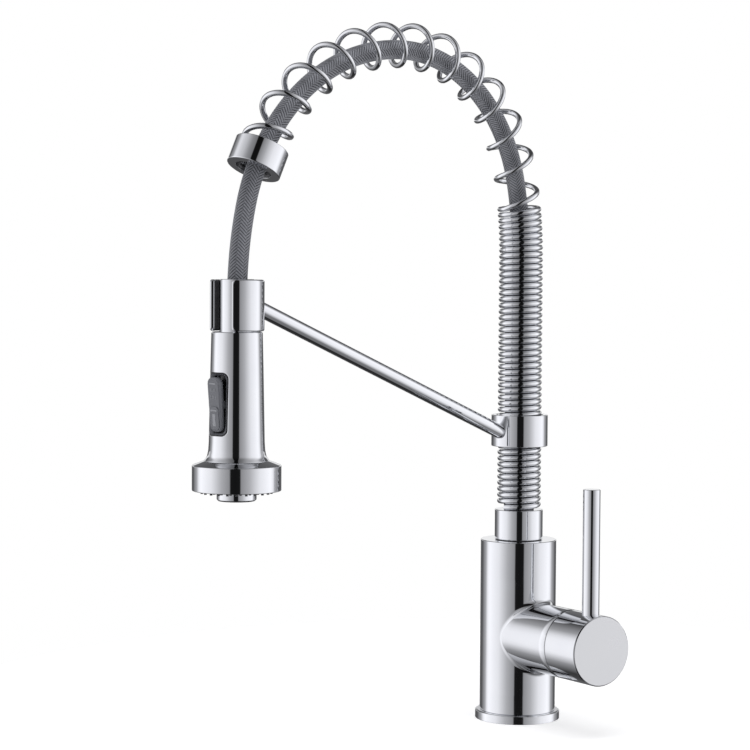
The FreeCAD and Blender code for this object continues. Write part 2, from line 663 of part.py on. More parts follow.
node("spigot_o_rings", joined("SpigotORings", *[
    torus(f"ORing{index}", "groove_rad + oring_dia / 2 + 0.02", "oring_dia / 2", middle)
    for index, middle in enumerate(ORING_HEIGHTS)
]))
node("swivel_washer", ring("SwivelWasher", "ferrule_dia / 2 - 0.6", "spigot_rad + close_gap + 0.1",
                           "body_top", "body_top + washer_thick"))
node("swivel_clip", less(
    "SwivelClip",
    ring("ClipRing", "spigot_rad + 2.4", "spigot_rad - 2 + close_gap", "clip_low",
         "clip_low + clip_thick"),
    block("ClipGap", "spigot_rad", "spigot_rad * 2", "clip_thick + 2", x="-spigot_rad / 2",
          y="-spigot_rad * 2", z="clip_low - 1"),
))
ferrule_low = "body_top + washer_thick"
node("riser_ferrule", turned("RiserFerrule", [
    ("pipe_rad + 2.4 + close_gap", ferrule_low),
    ("ferrule_dia / 2 - 0.4", ferrule_low),
    ("ferrule_dia / 2", f"{ferrule_low} + 0.4"),
    ("ferrule_dia / 2", "ferrule_top - 0.6"),
    ("ferrule_dia / 2 - 0.6", "ferrule_top"),
    ("pipe_rad + close_gap", "ferrule_top"),
    ("pipe_rad + close_gap", "spigot_high + 0.3"),
    ("pipe_rad + 2.4 + close_gap", "spigot_high + 0.3"),
]))
node("riser_pipe", ring("RiserPipe", "pipe_rad", "pipe_bore_dia / 2", "pipe_low", "pipe_top"))
node("pipe_top_bush", turned("PipeTopBush", [
    ("hose_rad + 0.5", "pipe_top - 8"),
    ("pipe_bore_dia / 2 - close_gap", "pipe_top - 8"),
    ("pipe_bore_dia / 2 - close_gap", "pipe_top"),
    ("pipe_rad", "pipe_top"),
    ("pipe_rad", "pipe_top + 1.6"),
    ("hose_rad + 0.5", "pipe_top + 1.6"),
]))

# --------------------------------------------------------------------------
# Path of the arch: straight runs joined by tangent arcs, in the plane x = 0
# --------------------------------------------------------------------------


def arch_path(sag, low, end):
    """The line up the riser, over the arch and down into the head."""
    reach, crown_reach = size("reach"), size("crown_reach")
    rise, rise_bend, rise_crown = math.radians(size("rise_lean")), size("rise_bend"), size("rise_crown")
    drop, drop_bend, drop_crown = math.radians(size("drop_lean")), size("drop_bend"), size("drop_crown")
    crown = size("crown_height") - sag
    rise_foot = size("bend_foot") - sag
    drop_foot = size("drop_foot") - sag

    def on_arc(side, y, z, radius, lean):
        """Point of an arc centred at y, z where the arc leans this far from the vertical."""
        return Vector(0, y - side * radius * math.cos(lean), z + radius * math.sin(lean))

    quarter = math.pi / 2
    bends = [
        (-1, -rise_bend, rise_foot, rise_bend, 0, rise),
        (-1, -crown_reach, crown - rise_crown, rise_crown, rise, quarter),
        (1, -crown_reach, crown - drop_crown, drop_crown, quarter, drop),
        (1, drop_bend - reach, drop_foot, drop_bend, drop, 0),
    ]
    edges = [Part.LineSegment(Vector(0, 0, low), Vector(0, 0, rise_foot)).toShape()]
    for side, y, z, radius, start, stop in bends:
        leans = (start, (start + stop) / 2, stop)
        edges.append(Part.Arc(*[on_arc(side, y, z, radius, lean) for lean in leans]).toShape())
    edges.append(Part.LineSegment(Vector(0, -reach, drop_foot), Vector(0, -reach, end)).toShape())
    return edges


def along(edges, distance):
    """Point and direction at a distance along a chain of edges."""
    for edge in edges:
        if distance <= edge.Length or edge is edges[-1]:
            at = edge.getParameterByLength(min(max(distance, 0), edge.Length))
            return edge.valueAt(at), edge.tangentAt(at)
        distance -= edge.Length


def tube_along(edges, radius):
    """A round bar along straight and arc edges, one exact solid a stretch."""
    pieces = []
    for edge in edges:
        start, direction = edge.valueAt(edge.FirstParameter), edge.tangentAt(edge.FirstParameter)
        if isinstance(edge.Curve, Part.Line):
            pieces.append(Part.makeCylinder(radius, edge.Length, start, direction))
        else:
            section = Part.Face(Part.Wire(Part.Circle(start, direction, radius).toShape()))
            sweep = math.degrees(edge.Length / edge.Curve.Radius)
            middle = edge.Curve.Center
            axis = (start - middle).cross(direction)
            pieces.append(section.revolve(middle, axis, sweep))
    return pieces[0].multiFuse(pieces[1:]).removeSplitter()


def wire_along(points, radius):
    """Round spring wire through the points, mitred at each."""
    path = Part.makePolygon(points)
    direction = (points[1] - points[0]).normalize()
    section = Part.Wire(Part.Circle(points[0], direction, radius).toShape())
    return path.makePipeShell([section], True, False, 1)


def shaped(label, shape):
    """A piece whose shape comes straight from the sheet's sizes."""
    obj = doc.addObject("Part::Feature", "".join(word.title() for word in label.split("_")))
    obj.Shape = shape
    return node(label, obj)


coil_path = arch_path(0, size("coil_low"), size("neck_top"))
hose_path = arch_path(size("hose_sag"), size("hose_low"), size("hose_end"))


def distance_at_height(edges, height):
    """Distance along the path to where it comes down through a height."""
    total = sum(edge.Length for edge in edges)
    low, high = 0.6 * total, total
    for _ in range(40):
        middle = (low + high) / 2
        point, _ = along(edges, middle)
        low, high = (middle, high) if point.z > height else (low, middle)
    return (low + high) / 2


# --------------------------------------------------------------------------
# Spring: close-wound on the riser, open over the arch
# --------------------------------------------------------------------------
COIL_SIDES = 10
ARCH_SIDES = 12
SEAM_TURN = 0.02  # part of a turn left between the two lengths of wire
coil_centre = size("coil_rad - wire_dia / 2")
pitch = size("coil_pitch")
wire_rad = size("wire_dia / 2")


def around(edges, distance, angle):
    """A point on the spring's centreline, at an angle round the path."""
    centre, direction = along(edges, distance)
    sideways = Vector(1, 0, 0)
    outward = sideways.cross(direction)
    return centre + (outward * math.cos(angle) + sideways * math.sin(angle)) * coil_centre


coil_turns = round((size("bend_foot") + 3 - size("coil_low")) / pitch)
coil_points = [
    around(coil_path, pitch * step / COIL_SIDES, 2 * math.pi * step / COIL_SIDES)
    for step in range(coil_turns * COIL_SIDES + 1)
]
shaped("riser_coil", wire_along(coil_points, wire_rad))

arch_start = coil_turns * pitch
close_turns, open_turns, end_turns = (int(size(name)) for name in
                                      ("close_turns", "open_turns", "end_turns"))
collar_middle = distance_at_height(coil_path, size("end_collar_height"))
spring_end = collar_middle + size("end_collar_length / 2 - end_collar_lip - wire_dia / 2 - 0.2")
open_start = arch_start + close_turns * pitch
open_end = spring_end - end_turns * pitch


def arch_distance(turn):
    """Distance along the path at a turn of the arch spring."""
    if turn <= close_turns:
        return arch_start + turn * pitch
    if turn <= close_turns + open_turns:
        return open_start + (open_end - open_start) * (turn - close_turns) / open_turns
    return open_end + (turn - close_turns - open_turns) * pitch


arch_turns = close_turns + open_turns + end_turns
arch_steps = [step / ARCH_SIDES for step in range(arch_turns * ARCH_SIDES + 1)]
arch_steps[0] = SEAM_TURN
shaped("arch_spring", wire_along([
    around(coil_path, arch_distance(turn), 2 * math.pi * turn) for turn in arch_steps
], wire_rad))

collar_point, collar_direction = along(coil_path, collar_middle)
AT_COLLAR = Placement(collar_point, Rotation(Vector(0, 0, -1), collar_direction))
collar_bore = "coil_rad + 0.35"
node("spring_collar", turned("SpringCollar", [
    ("end_bush_bore_dia / 2 + 3", "-end_collar_length / 2"),
    ("end_collar_dia / 2 - 0.5", "-end_collar_length / 2"),
    ("end_collar_dia / 2", "-end_collar_length / 2 + 0.5"),
    ("end_collar_dia / 2", "end_collar_length / 2 - 0.5"),
    ("end_collar_dia / 2 - 0.5", "end_collar_length / 2"),
    (collar_bore, "end_collar_length / 2"),
    (collar_bore, "end_collar_lip - end_collar_length / 2"),
    ("end_bush_bore_dia / 2 + 3", "end_collar_lip - end_collar_length / 2"),
]), AT_COLLAR)
node("collar_bush", turned("CollarBush", [
    ("end_bush_bore_dia / 2", "1 - end_collar_length / 2"),
    ("end_bush_bore_dia / 2 + 3 - close_gap", "1 - end_collar_length / 2"),
    ("end_bush_bore_dia / 2 + 3 - close_gap", "end_collar_lip - end_collar_length / 2"),
    ("end_bush_bore_dia / 2", "end_collar_lip - end_collar_length / 2"),
]), AT_COLLAR)

# --------------------------------------------------------------------------
# Arm: collar on the riser, rod, and holder clip for the head
# --------------------------------------------------------------------------
RISE = Rotation(Vector(1, 0, 0), 90 - size("arm_slope"))
arm_near = "arm_collar_dia / 2 - 0.75"
arm_far = "reach - holder_rad + 1.1"


def arm_bar(name, radius, near, far):
    """A round bar along the arm, between two distances from the riser."""
    return rod(name, radius, f"({far} - ({near})) / cos(arm_slope)", y=f"-({near})",
               z=f"arm_root + ({near}) * tan(arm_slope)", rotation=RISE)


arm_middle = "(arm_collar_low + arm_collar_high) / 2"
arm_bore = "arm_collar_dia / 2 - arm_collar_wall"
node("arm_collar", less(
    "ArmCollar",
    turned("ArmCollarBlank", chrome_edge("arm_collar_dia / 2", "0.5", "arm_collar_low",
                                         "arm_collar_high", arm_bore)),
    arm_bar("ArmCollarSocket", "arm_dia / 2 + close_gap", arm_near, "arm_collar_dia"),
    rod("ArmScrewHole", "screw_dia / 2 + close_gap", "arm_collar_wall + 2", z=arm_middle,
        y="arm_collar_dia / 2 + 1", rotation=Rotation(Vector(1, 0, 0), 90)),
))
node("collar_liner", ring("CollarLiner", f"{arm_bore} - close_gap", "coil_rad + 0.2",
                          "arm_collar_low + 0.4", "arm_collar_high - 0.4"))
node("arm_set_screw", rod(
    "ArmSetScrew", "screw_dia / 2", "arm_collar_wall - 0.5"),
    Placement(Vector(0, size("arm_collar_dia / 2") - 0.4, size(arm_middle)),
              Rotation(Vector(1, 0, 0), 90)))
arm = arm_bar("ArmRod", "arm_dia / 2", arm_near, arm_far)
arm.Label = "arm_rod"
nodes["arm_rod"] = arm


def open_sleeve(name, outer, inner, low, high):
    """A sleeve that leaves the front open, for a hose to pass."""
    wall = rod(f"{name}Wall", outer, f"{high} - ({low})", z=low)
    wall.setExpression("Angle", bound("360 - holder_opening"))
    tools = rod(f"{name}Bore", inner, f"{high} - ({low}) + 2", z=f"{low} - 1")
    return less(name, wall, tools)


def on_lip_corner(edge):
    ends = [vertex.Point for vertex in edge.Vertexes]
    if len(ends) != 2 or not isinstance(edge.Curve, Part.Line):
        return False
    return abs(ends[0].z - ends[1].z) < 1e-6 and edge.Length < size("holder_wall") + 0.01


FACING = Rotation(Vector(0, 0, 1), -90 + size("holder_opening") / 2)
clip_blank = rounded(
    "ClipBlank",
    open_sleeve("ClipSleeve", "holder_rad", "holder_rad - holder_wall", "holder_low", "holder_high"),
    "holder_round", on_lip_corner)
clip_blank.Placement = HEAD * Placement(Vector(), FACING)
node("holder_clip", less(
    "HolderClip", clip_blank,
    arm_bar("ClipSocket", "arm_dia / 2 + close_gap", "arm_collar_dia", arm_far)))
node("clip_liner", open_sleeve("ClipLiner", "holder_rad - holder_wall - close_gap", "liner_rad",
                               "holder_low + 0.5", "holder_high - 0.5"),
     HEAD * Placement(Vector(), FACING))

# --------------------------------------------------------------------------
# Spray hose and its fittings
# --------------------------------------------------------------------------
shaped("spray_hose", tube_along(hose_path, size("hose_rad")))
node("hose_lower_washer", ring("HoseLowerWasher", "spigot_bore_dia / 2 - close_gap", "3.4",
                               "spigot_low + 0.5", "spigot_low + 2"))
node("hose_lower_nut", turned("HoseLowerNut", [
    ("3.4", "spigot_low + 2"),
    ("spigot_bore_dia / 2 - close_gap", "spigot_low + 2"),
    ("spigot_bore_dia / 2 - close_gap", "pipe_low - 0.5"),
    ("hose_rad + close_gap", "pipe_low - 0.5"),
    ("hose_rad + close_gap", "hose_low"),
    ("3.4", "hose_low"),
]))
neck_bore = "neck_rad - neck_wall"
nut_low = "hose_end - 8"
nut_top = "hose_end + 10"
node("hose_upper_nut", turned("HoseUpperNut", [
    ("3.4", nut_low),
    (f"{neck_bore} - free_gap", nut_low),
    (f"{neck_bore} - free_gap", nut_top),
    ("hose_rad + close_gap", nut_top),
    ("hose_rad + close_gap", "hose_end"),
    ("3.4", "hose_end"),
]), HEAD)
node("hose_upper_washer", ring("HoseUpperWasher", f"{neck_bore} - free_gap - 0.6", "3.4",
                               f"{nut_low} - 1.6", nut_low), HEAD)

# --------------------------------------------------------------------------
# Spray head
# --------------------------------------------------------------------------
core_top = "head_top - 4"
neck_foot = "head_top - 12"
node("head_neck", turned("HeadNeck", [
    (neck_bore, neck_foot),
    ("neck_rad", neck_foot),
    ("neck_rad", "neck_top - 0.4"),
    ("neck_rad - 0.4", "neck_top"),
    (neck_bore, "neck_top"),
]), HEAD)
node("neck_snap_ring", ring("NeckSnapRing", f"{neck_bore} - close_gap", "hose_rad + 0.8",
                            f"{nut_top} + 0.4", f"{nut_top} + 1.8"), HEAD)
node("check_valve", ring("CheckValve", f"{neck_bore} - close_gap", "3",
                         f"{neck_foot} + 1.5", f"{nut_low} - 2.2"), HEAD)

WINDOW_TOOLS = block("WindowBlock", "window_width", "head_flare_dia", "window_high - window_low",
                     x="-window_width / 2", y="-head_flare_dia - core_rad", z="window_low")


def runs_along_y(edge):
    ends = [vertex.Point for vertex in edge.Vertexes]
    return len(ends) == 2 and abs(ends[0].x - ends[1].x) + abs(ends[0].z - ends[1].z) < 1e-6


head_shell = turned("HeadShell", [
    ("neck_rad + close_gap", "head_top - head_wall"),
    ("neck_rad + close_gap", "head_top"),
    ("head_top_dia / 2 - 0.9", "head_top"),
    ("head_top_dia / 2", "head_top - 0.9"),
    ("head_mid_dia / 2", "head_mid_height"),
    ("head_low_dia / 2", "head_low_height"),
    ("head_low_dia / 2 + 0.5", "head_low_height - 5"),
    ("head_low_dia / 2 + 1.4", "head_flare_height + 3.4"),
    ("head_flare_dia / 2", "head_flare_height"),
    ("head_flare_dia / 2 - head_wall - 0.6", "head_flare_height"),
    ("head_low_dia / 2 - head_wall", "head_low_height - 5"),
    ("head_low_dia / 2 - head_wall", "head_low_height"),
    ("head_mid_dia / 2 - head_wall", "head_mid_height"),
    ("head_top_dia / 2 - head_wall", "head_top - head_wall"),
])
node("head_body", less("HeadBody", head_shell,
                       rounded("Window", WINDOW_TOOLS, "window_round", runs_along_y)), HEAD)

pin_y = "-rocker_pin_depth"
spool_low = "-(rocker_pin_depth + 2.9)"
node("head_core", less(
    "HeadCore",
    turned("CoreBlank", [
        ("4", "aerator_high + 2"),
        ("head_low_dia / 2 + 0.6", "aerator_high + 2"),
        ("head_low_dia / 2 + 0.6", "head_flare_height - 2"),
        ("core_rad", "head_flare_height + 3"),
        ("core_rad", core_top),
        ("neck_rad + close_gap", core_top),
        ("neck_rad + close_gap", neck_foot),
        ("4", neck_foot),
    ]),
    rod("SpoolBore", "spool_dia / 2 + free_gap", "2 * core_rad - 2", y="-core_rad - 1",
        z="spool_height", rotation=Rotation(Vector(1, 0, 0), -90)),
    block("PivotPocket", "window_width - 2", "core_rad - 5.6", "12", x="1 - window_width / 2",
          y="-core_rad - 1", z="rocker_height - 6"),
), HEAD)

node("bell_ring", turned("BellRing", [
    ("bell_rad - bell_wall", "bell_low"),
    ("bell_rad - 0.5", "bell_low"),
    ("bell_rad", "bell_low + 0.5"),
    ("bell_rad", "bell_high - 0.5"),
    ("bell_rad - 0.7", "bell_high + 0.3"),
    ("head_flare_dia / 2", "head_flare_height"),
    ("head_low_dia / 2 + 1", "head_flare_height"),
    ("head_low_dia / 2 + 1", "head_flare_height - 2.2"),
    ("bell_rad - bell_wall", "bell_high - 1.8"),
]), HEAD)
face_rad = "bell_rad - bell_wall - close_gap"
node("spray_chamber", turned("SprayChamber", [
    ("aerator_rad + 0.3", "face_high"),
    ("aerator_rad + 1.7", "face_high"),
    ("aerator_rad + 1.7", "aerator_high - 1"),
    ("outer_nub_radius + 1.6", "face_high + 2.2"),
    ("outer_nub_radius + 1.6", "face_high"),
    (face_rad, "face_high"),
    (face_rad, "face_high + 3.6"),
    ("head_low_dia / 2 + 0.6", "aerator_high + 2"),
    ("aerator_rad + 0.3", "aerator_high + 2"),
]), HEAD)

NUB_RINGS = [("outer_nubs", "outer_nub_radius"), ("inner_nubs", "inner_nub_radius")]


def nub_circle(name, radius, low, length):
    """One short rod at each spray nub, in both rings."""
    made = []
    for count_name, ring_radius in NUB_RINGS:
        count = int(size(count_name))
        for index in range(count):
            angle = 360 * (index + 0.5) / count
            made.append(rod(f"{name}_{count_name}_{index}", radius, length,
                            x=f"{ring_radius} * cos({angle})", y=f"{ring_radius} * sin({angle})",
                            z=low))
    return made


node("spray_face", less(
    "SprayFace",
    ring("SprayFaceBlank", face_rad, "aerator_rad + close_gap", "face_low", "face_high"),
    *nub_circle("NubHole", "nub_dia / 2 + close_gap", "face_low - 1", "face_thick + 2"),
), HEAD)
node("spray_nozzles", joined("SprayNozzles", *nub_circle(
    "Nub", "nub_dia / 2", "face_low - nub_drop", "face_thick + nub_drop - 0.2")), HEAD)

aerator_bore = "aerator_rad - aerator_wall"
node("aerator_shell", turned("AeratorShell", [
    (f"{aerator_bore} - 0.9", "aerator_low"),
    ("aerator_rad - 1.0", "aerator_low"),
    ("aerator_rad - 0.3", "aerator_low + 0.3"),
    ("aerator_rad", "aerator_low + 1.0"),
    ("aerator_rad", "aerator_high"),
    (aerator_bore, "aerator_high"),
    (aerator_bore, "aerator_low + 1.3"),
    (f"{aerator_bore} - 0.9", "aerator_low + 1.3"),
]), HEAD)
node("aerator_washer", ring("AeratorWasher", "aerator_rad - close_gap", "aerator_rad - 5",
                            "aerator_high", "aerator_high + 1.6"), HEAD)

grid_step = size("mesh_pitch")
grid_reach = size(aerator_bore) - grid_step
grid_count = int(grid_reach // grid_step)
grid_cells = [
    (column * grid_step, line * grid_step)
    for column in range(-grid_count, grid_count + 1)
    for line in range(-grid_count, grid_count + 1)
    if math.hypot(column, line) * grid_step < grid_reach
]
node("aerator_insert", less(
    "AeratorInsert",
    rod("InsertBlank", f"{aerator_bore} - close_gap", "aerator_high - aerator_low - 1.8",
        z="aerator_low + 1.4"),
    *[block(f"Cell{index}", "mesh_pitch - mesh_bar", "mesh_pitch - mesh_bar", "8",
            x=f"{x} - (mesh_pitch - mesh_bar) / 2", y=f"{y} - (mesh_pitch - mesh_bar) / 2",
            z="aerator_low") for index, (x, y) in enumerate(grid_cells)],
), HEAD)

# --------------------------------------------------------------------------
# Rocker switch and diverter
# --------------------------------------------------------------------------
frame_out = "head_mid_dia / 2 + 0.1"
frame_half = "window_width / 2 - close_gap"
frame_inside = "window_width / 2 - close_gap - frame_bar"
surround = shared(
    "Surround",
    rounded("SurroundBlock", block(
        "SurroundBlank", f"2 * ({frame_half})", "core_rad + 6",
        "window_high - window_low - 2 * close_gap", x=f"-({frame_half})",
        y="-core_rad - 8", z="window_low + close_gap"), "window_round", runs_along_y),
    ring("SurroundShell", frame_out, "head_mid_dia / 2 - 2.6", "window_low", "window_high"),
)
ears = [
    block(f"Ear{side}", "frame_bar", "5", "8", x=x, y="-rocker_pin_depth - 3",
          z="rocker_height - 4")
    for side, x in (("Left", f"-({frame_half})"), ("Right", f"{frame_inside}"))
]
node("rocker_frame", less(
    "RockerFrame",
    joined("FrameBlank", surround, *ears),
    block("FrameWindow", f"2 * ({frame_inside})", "core_rad + 9",
          "window_high - window_low - 2 * frame_bar", x=f"-({frame_inside})",
          y="-core_rad - 9", z="window_low + frame_bar"),
    rod("FramePinHole", "rocker_pin_dia / 2 + close_gap", "window_width", x="-window_width / 2",
        y=pin_y, z="rocker_height", rotation=ALONG_X),
), HEAD)
node("rocker_pin", rod("RockerPin", "rocker_pin_dia / 2", "window_width - 0.6"),
     HEAD * Placement(Vector(0.3 - size("window_width") / 2, -size("rocker_pin_depth"),
                             size("rocker_height")), ALONG_X))
rocker_top = "window_high - frame_bar - 2 * rocker_gap"
rocker_foot = "window_low + frame_bar + rocker_gap"
node("rocker", less(
    "Rocker",
    padded_plate("RockerPlate", [
        ("-rocker_pin_depth - 6.3", rocker_top),
        ("-rocker_pin_depth - 7.0", f"{rocker_top} - 3"),
        ("-rocker_pin_depth - 4.2", f"{rocker_foot} + 1"),
        ("-rocker_pin_depth - 3.6", rocker_foot),
        ("-rocker_pin_depth - 1.7", rocker_foot),
        ("-rocker_pin_depth - 2.4", "rocker_height - 3.2"),
        ("-rocker_pin_depth + 1.9", "rocker_height - 2.2"),
        ("-rocker_pin_depth + 1.9", "rocker_height + 2.2"),
        ("-rocker_pin_depth - 2.7", "rocker_height + 3.2"),
        ("-rocker_pin_depth - 3.5", rocker_top),
    ], f"2 * ({frame_inside} - rocker_gap)"),
    rod("RockerPinHole", "rocker_pin_dia / 2 + close_gap", "window_width",
        x="-window_width / 2", y=pin_y, z="rocker_height", rotation=ALONG_X),
), HEAD)

SPOOL = HEAD * Placement(Vector(0, size(spool_low), size("spool_height")),
                         Rotation(Vector(1, 0, 0), -90))
SPOOL_RINGS = ("6.5", "15.5")
spool_steps = [("0", "0"), ("spool_dia / 2 - 0.4", "0"), ("spool_dia / 2", "0.4")]
for middle in SPOOL_RINGS:
    spool_steps += [
        ("spool_dia / 2", f"{middle} - 0.75"),
        ("spool_dia / 2 - 1.1", f"{middle} - 0.75"),
        ("spool_dia / 2 - 1.1", f"{middle} + 0.75"),
        ("spool_dia / 2", f"{middle} + 0.75"),
    ]
spool_steps += [("spool_dia / 2", "20"), ("0", "20")]
node("diverter_spool", turned("DiverterSpool", spool_steps), SPOOL)
node("spool_o_rings", joined("SpoolORings", *[
    torus(f"SpoolRing{index}", "spool_dia / 2 - 0.45", "0.6", middle)
    for index, middle in enumerate(SPOOL_RINGS)
]), SPOOL)

# --------------------------------------------------------------------------
# Check every object, then write one file for each sub-part
# --------------------------------------------------------------------------
doc.recompute()
for obj in doc.Objects:
    if "Invalid" in obj.State or "Error" in obj.State:
        raise RuntimeError(f"{obj.Label} failed: {obj.State}")
for label, obj in nodes.items():
    if obj.Shape.isNull() or not obj.Shape.isValid() or not obj.Shape.Solids:
        raise RuntimeError(f"{label} has no valid solid")

hose_length = sum(edge.Length for edge in hose_path)
hose_volume = math.pi * size("hose_rad") ** 2 * hose_length
print(f"hose length {hose_length:.1f} mm, volume over section times length "
      f"{nodes['spray_hose'].Shape.Volume / hose_volume:.4f}")

os.makedirs("parts", exist_ok=True)
for label, obj in nodes.items():
    obj.Shape.exportStep(f"parts/{label}.step")
print("arch radii mm: " + ", ".join(
    f"{size(bend):.1f}" for bend in ("rise_bend", "rise_crown", "drop_crown", "drop_bend")))
print(f"{len(nodes)} sub-parts written")
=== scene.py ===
import math

import bmesh
import bpy
from mathutils import Matrix, Vector


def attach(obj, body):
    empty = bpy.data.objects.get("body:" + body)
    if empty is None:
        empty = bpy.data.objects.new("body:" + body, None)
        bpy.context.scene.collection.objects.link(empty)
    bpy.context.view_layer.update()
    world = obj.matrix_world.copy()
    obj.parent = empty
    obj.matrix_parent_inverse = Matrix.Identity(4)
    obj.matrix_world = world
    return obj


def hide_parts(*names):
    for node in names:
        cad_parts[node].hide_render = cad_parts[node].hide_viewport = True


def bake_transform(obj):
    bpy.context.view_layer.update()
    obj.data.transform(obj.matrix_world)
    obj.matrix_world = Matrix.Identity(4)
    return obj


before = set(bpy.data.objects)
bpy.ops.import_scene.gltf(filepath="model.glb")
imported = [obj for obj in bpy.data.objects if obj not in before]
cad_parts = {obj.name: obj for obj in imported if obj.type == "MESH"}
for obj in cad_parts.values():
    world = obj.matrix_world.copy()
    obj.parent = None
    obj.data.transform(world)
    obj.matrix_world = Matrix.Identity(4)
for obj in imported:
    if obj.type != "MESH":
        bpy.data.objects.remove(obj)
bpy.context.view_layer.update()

# --------------------------------------------------------------------------
# Base flange
# A turned brass ring, chrome plated, that hides the edge of the deck hole.
# It is held between the valve body's foot and the gasket on the worktop.
# --------------------------------------------------------------------------
MM = 0.001
TURN_STEPS = 192


def eased(profile, close):
    """Corner points (radius, height, ease) with each corner rounded to its ease.

    A short straight stretch is kept beside each round, so flats stay flat."""
    count = len(profile)
    result = []
    for index, (radius, height, ease) in enumerate(profile):
        here = Vector((radius, height))
        if not close and index in (0, count - 1) or ease <= 0:
            result.append(here)
            continue
        before = Vector(profile[index - 1][:2]) - here
        after = Vector(profile[(index + 1) % count][:2]) - here
        half = before.angle(after) / 2
        if half > math.radians(89.5):
            result.append(here)
            continue
        room = 0.42 * min(before.length, after.length)
        reach = min(ease / math.tan(half), room)
        arc = reach * math.tan(half)
        middle = here + (before.normalized() + after.normalized()).normalized() * arc / math.sin(half)
        start = here + before.normalized() * reach
        stop = here + after.normalized() * reach
        flat = min(ease, room - reach) if room > reach else 0
        if flat > 0.01:
            result.append(start + before.normalized() * flat)
        first, sweep = (start - middle), (stop - middle)
        pieces = 6
        for step in range(pieces + 1):
            blend = step / pieces
            spoke = first.slerp(sweep, blend) if first.angle(sweep) > 1e-4 else first
            result.append(middle + spoke.normalized() * arc)
        if flat > 0.01:
            result.append(stop + after.normalized() * flat)
    return result


def placed(name, data):
    """A new object in the scene."""
    piece = bpy.data.objects.new(name, data)
    bpy.context.scene.collection.objects.link(piece)
    return piece


def outward_faces(mesh):
    """Turn every face of a mesh outwards."""
    work = bmesh.new()
    work.from_mesh(mesh)
    bmesh.ops.recalc_face_normals(work, faces=work.faces)
    work.to_mesh(mesh)
    work.free()


def skin(name, rings, finish, loop=False):
    """A closed skin through rings of points in mm. A ring of one point is a pole."""
    points, faces, places = [], [], []
    for ring in rings:
        places.append(range(len(points), len(points) + len(ring)))
        points += [Vector(point) * MM for point in ring]
    pairs = list(zip(places, places[1:]))
    if loop:
        pairs.append((places[-1], places[0]))
    for low, high in pairs:
        for step in range(max(len(low), len(high))):
            corners = [low[step % len(low)], low[(step + 1) % len(low)],
                       high[(step + 1) % len(high)], high[step % len(high)]]
            faces.append(list(dict.fromkeys(corners)))
    mesh = bpy.data.meshes.new(name)
    mesh.from_pydata(points, [], faces)
    outward_faces(mesh)
    mesh.shade_smooth()
    mesh.materials.append(finish)
    return placed(name, mesh)


def settle(piece, body, node):
    """Say which body carries a piece and which node it stands for."""
    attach(piece, body)
    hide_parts(node)


def turned(name, profile, finish, place=Matrix(), steps=TURN_STEPS):
    """A turned piece from a profile in mm about the place's Z axis."""
    on_axis = profile[0][0] == 0
    rings = []
    for radius, height in eased(profile, close=not on_axis):
        if radius < 1e-6:
            rings.append([place @ Vector((0, 0, height))])
            continue
        turn = [2 * math.pi * step / steps for step in range(steps)]
        rings.append([place @ Vector((radius * math.cos(a), radius * math.sin(a), height)) for a in turn])
    return skin(name, rings, finish, loop=not on_axis)


def handling_marks():
    """Node group: faint cloudy handling marks and fine polishing lines."""
    group = bpy.data.node_groups.new("handling_marks", "ShaderNodeTree")
    for title, kind, value in (("Cloud Size", "NodeSocketFloat", 60), ("Smooth", "NodeSocketFloat", 0.03),
                               ("Marked", "NodeSocketFloat", 0.09), ("Line Size", "NodeSocketFloat", 900)):
        socket = group.interface.new_socket(title, in_out="INPUT", socket_type=kind)
        socket.default_value = value
    for title, kind in (("Roughness", "NodeSocketFloat"), ("Height", "NodeSocketFloat"),
                        ("Cloud", "NodeSocketFloat")):
        group.interface.new_socket(title, in_out="OUTPUT", socket_type=kind)
    add, wire = group.nodes.new, group.links.new
    inside, outside = add("NodeGroupInput"), add("NodeGroupOutput")
    where = add("ShaderNodeTexCoord")
    cloud = add("ShaderNodeTexNoise")
    cloud.inputs["Detail"].default_value = 4
    wire(where.outputs["Object"], cloud.inputs["Vector"])
    wire(inside.outputs["Cloud Size"], cloud.inputs["Scale"])
    spread = add("ShaderNodeMapRange")
    spread.interpolation_type = "SMOOTHSTEP"
    spread.inputs["From Min"].default_value = 0.42
    spread.inputs["From Max"].default_value = 0.75
    wire(cloud.outputs["Fac"], spread.inputs["Value"])
    wire(inside.outputs["Smooth"], spread.inputs["To Min"])
    wire(inside.outputs["Marked"], spread.inputs["To Max"])
    stretch = add("ShaderNodeVectorMath")
    stretch.operation = "MULTIPLY"
    stretch.inputs[1].default_value = (1, 1, 0.08)
    wire(where.outputs["Object"], stretch.inputs[0])
    lines = add("ShaderNodeTexNoise")
    lines.inputs["Detail"].default_value = 2
    wire(stretch.outputs[0], lines.inputs["Vector"])
    wire(inside.outputs["Line Size"], lines.inputs["Scale"])
    wire(spread.outputs["Result"], outside.inputs["Roughness"])
    wire(lines.outputs["Fac"], outside.inputs["Height"])
    wire(cloud.outputs["Fac"], outside.inputs["Cloud"])
    return group


MARKS = handling_marks()


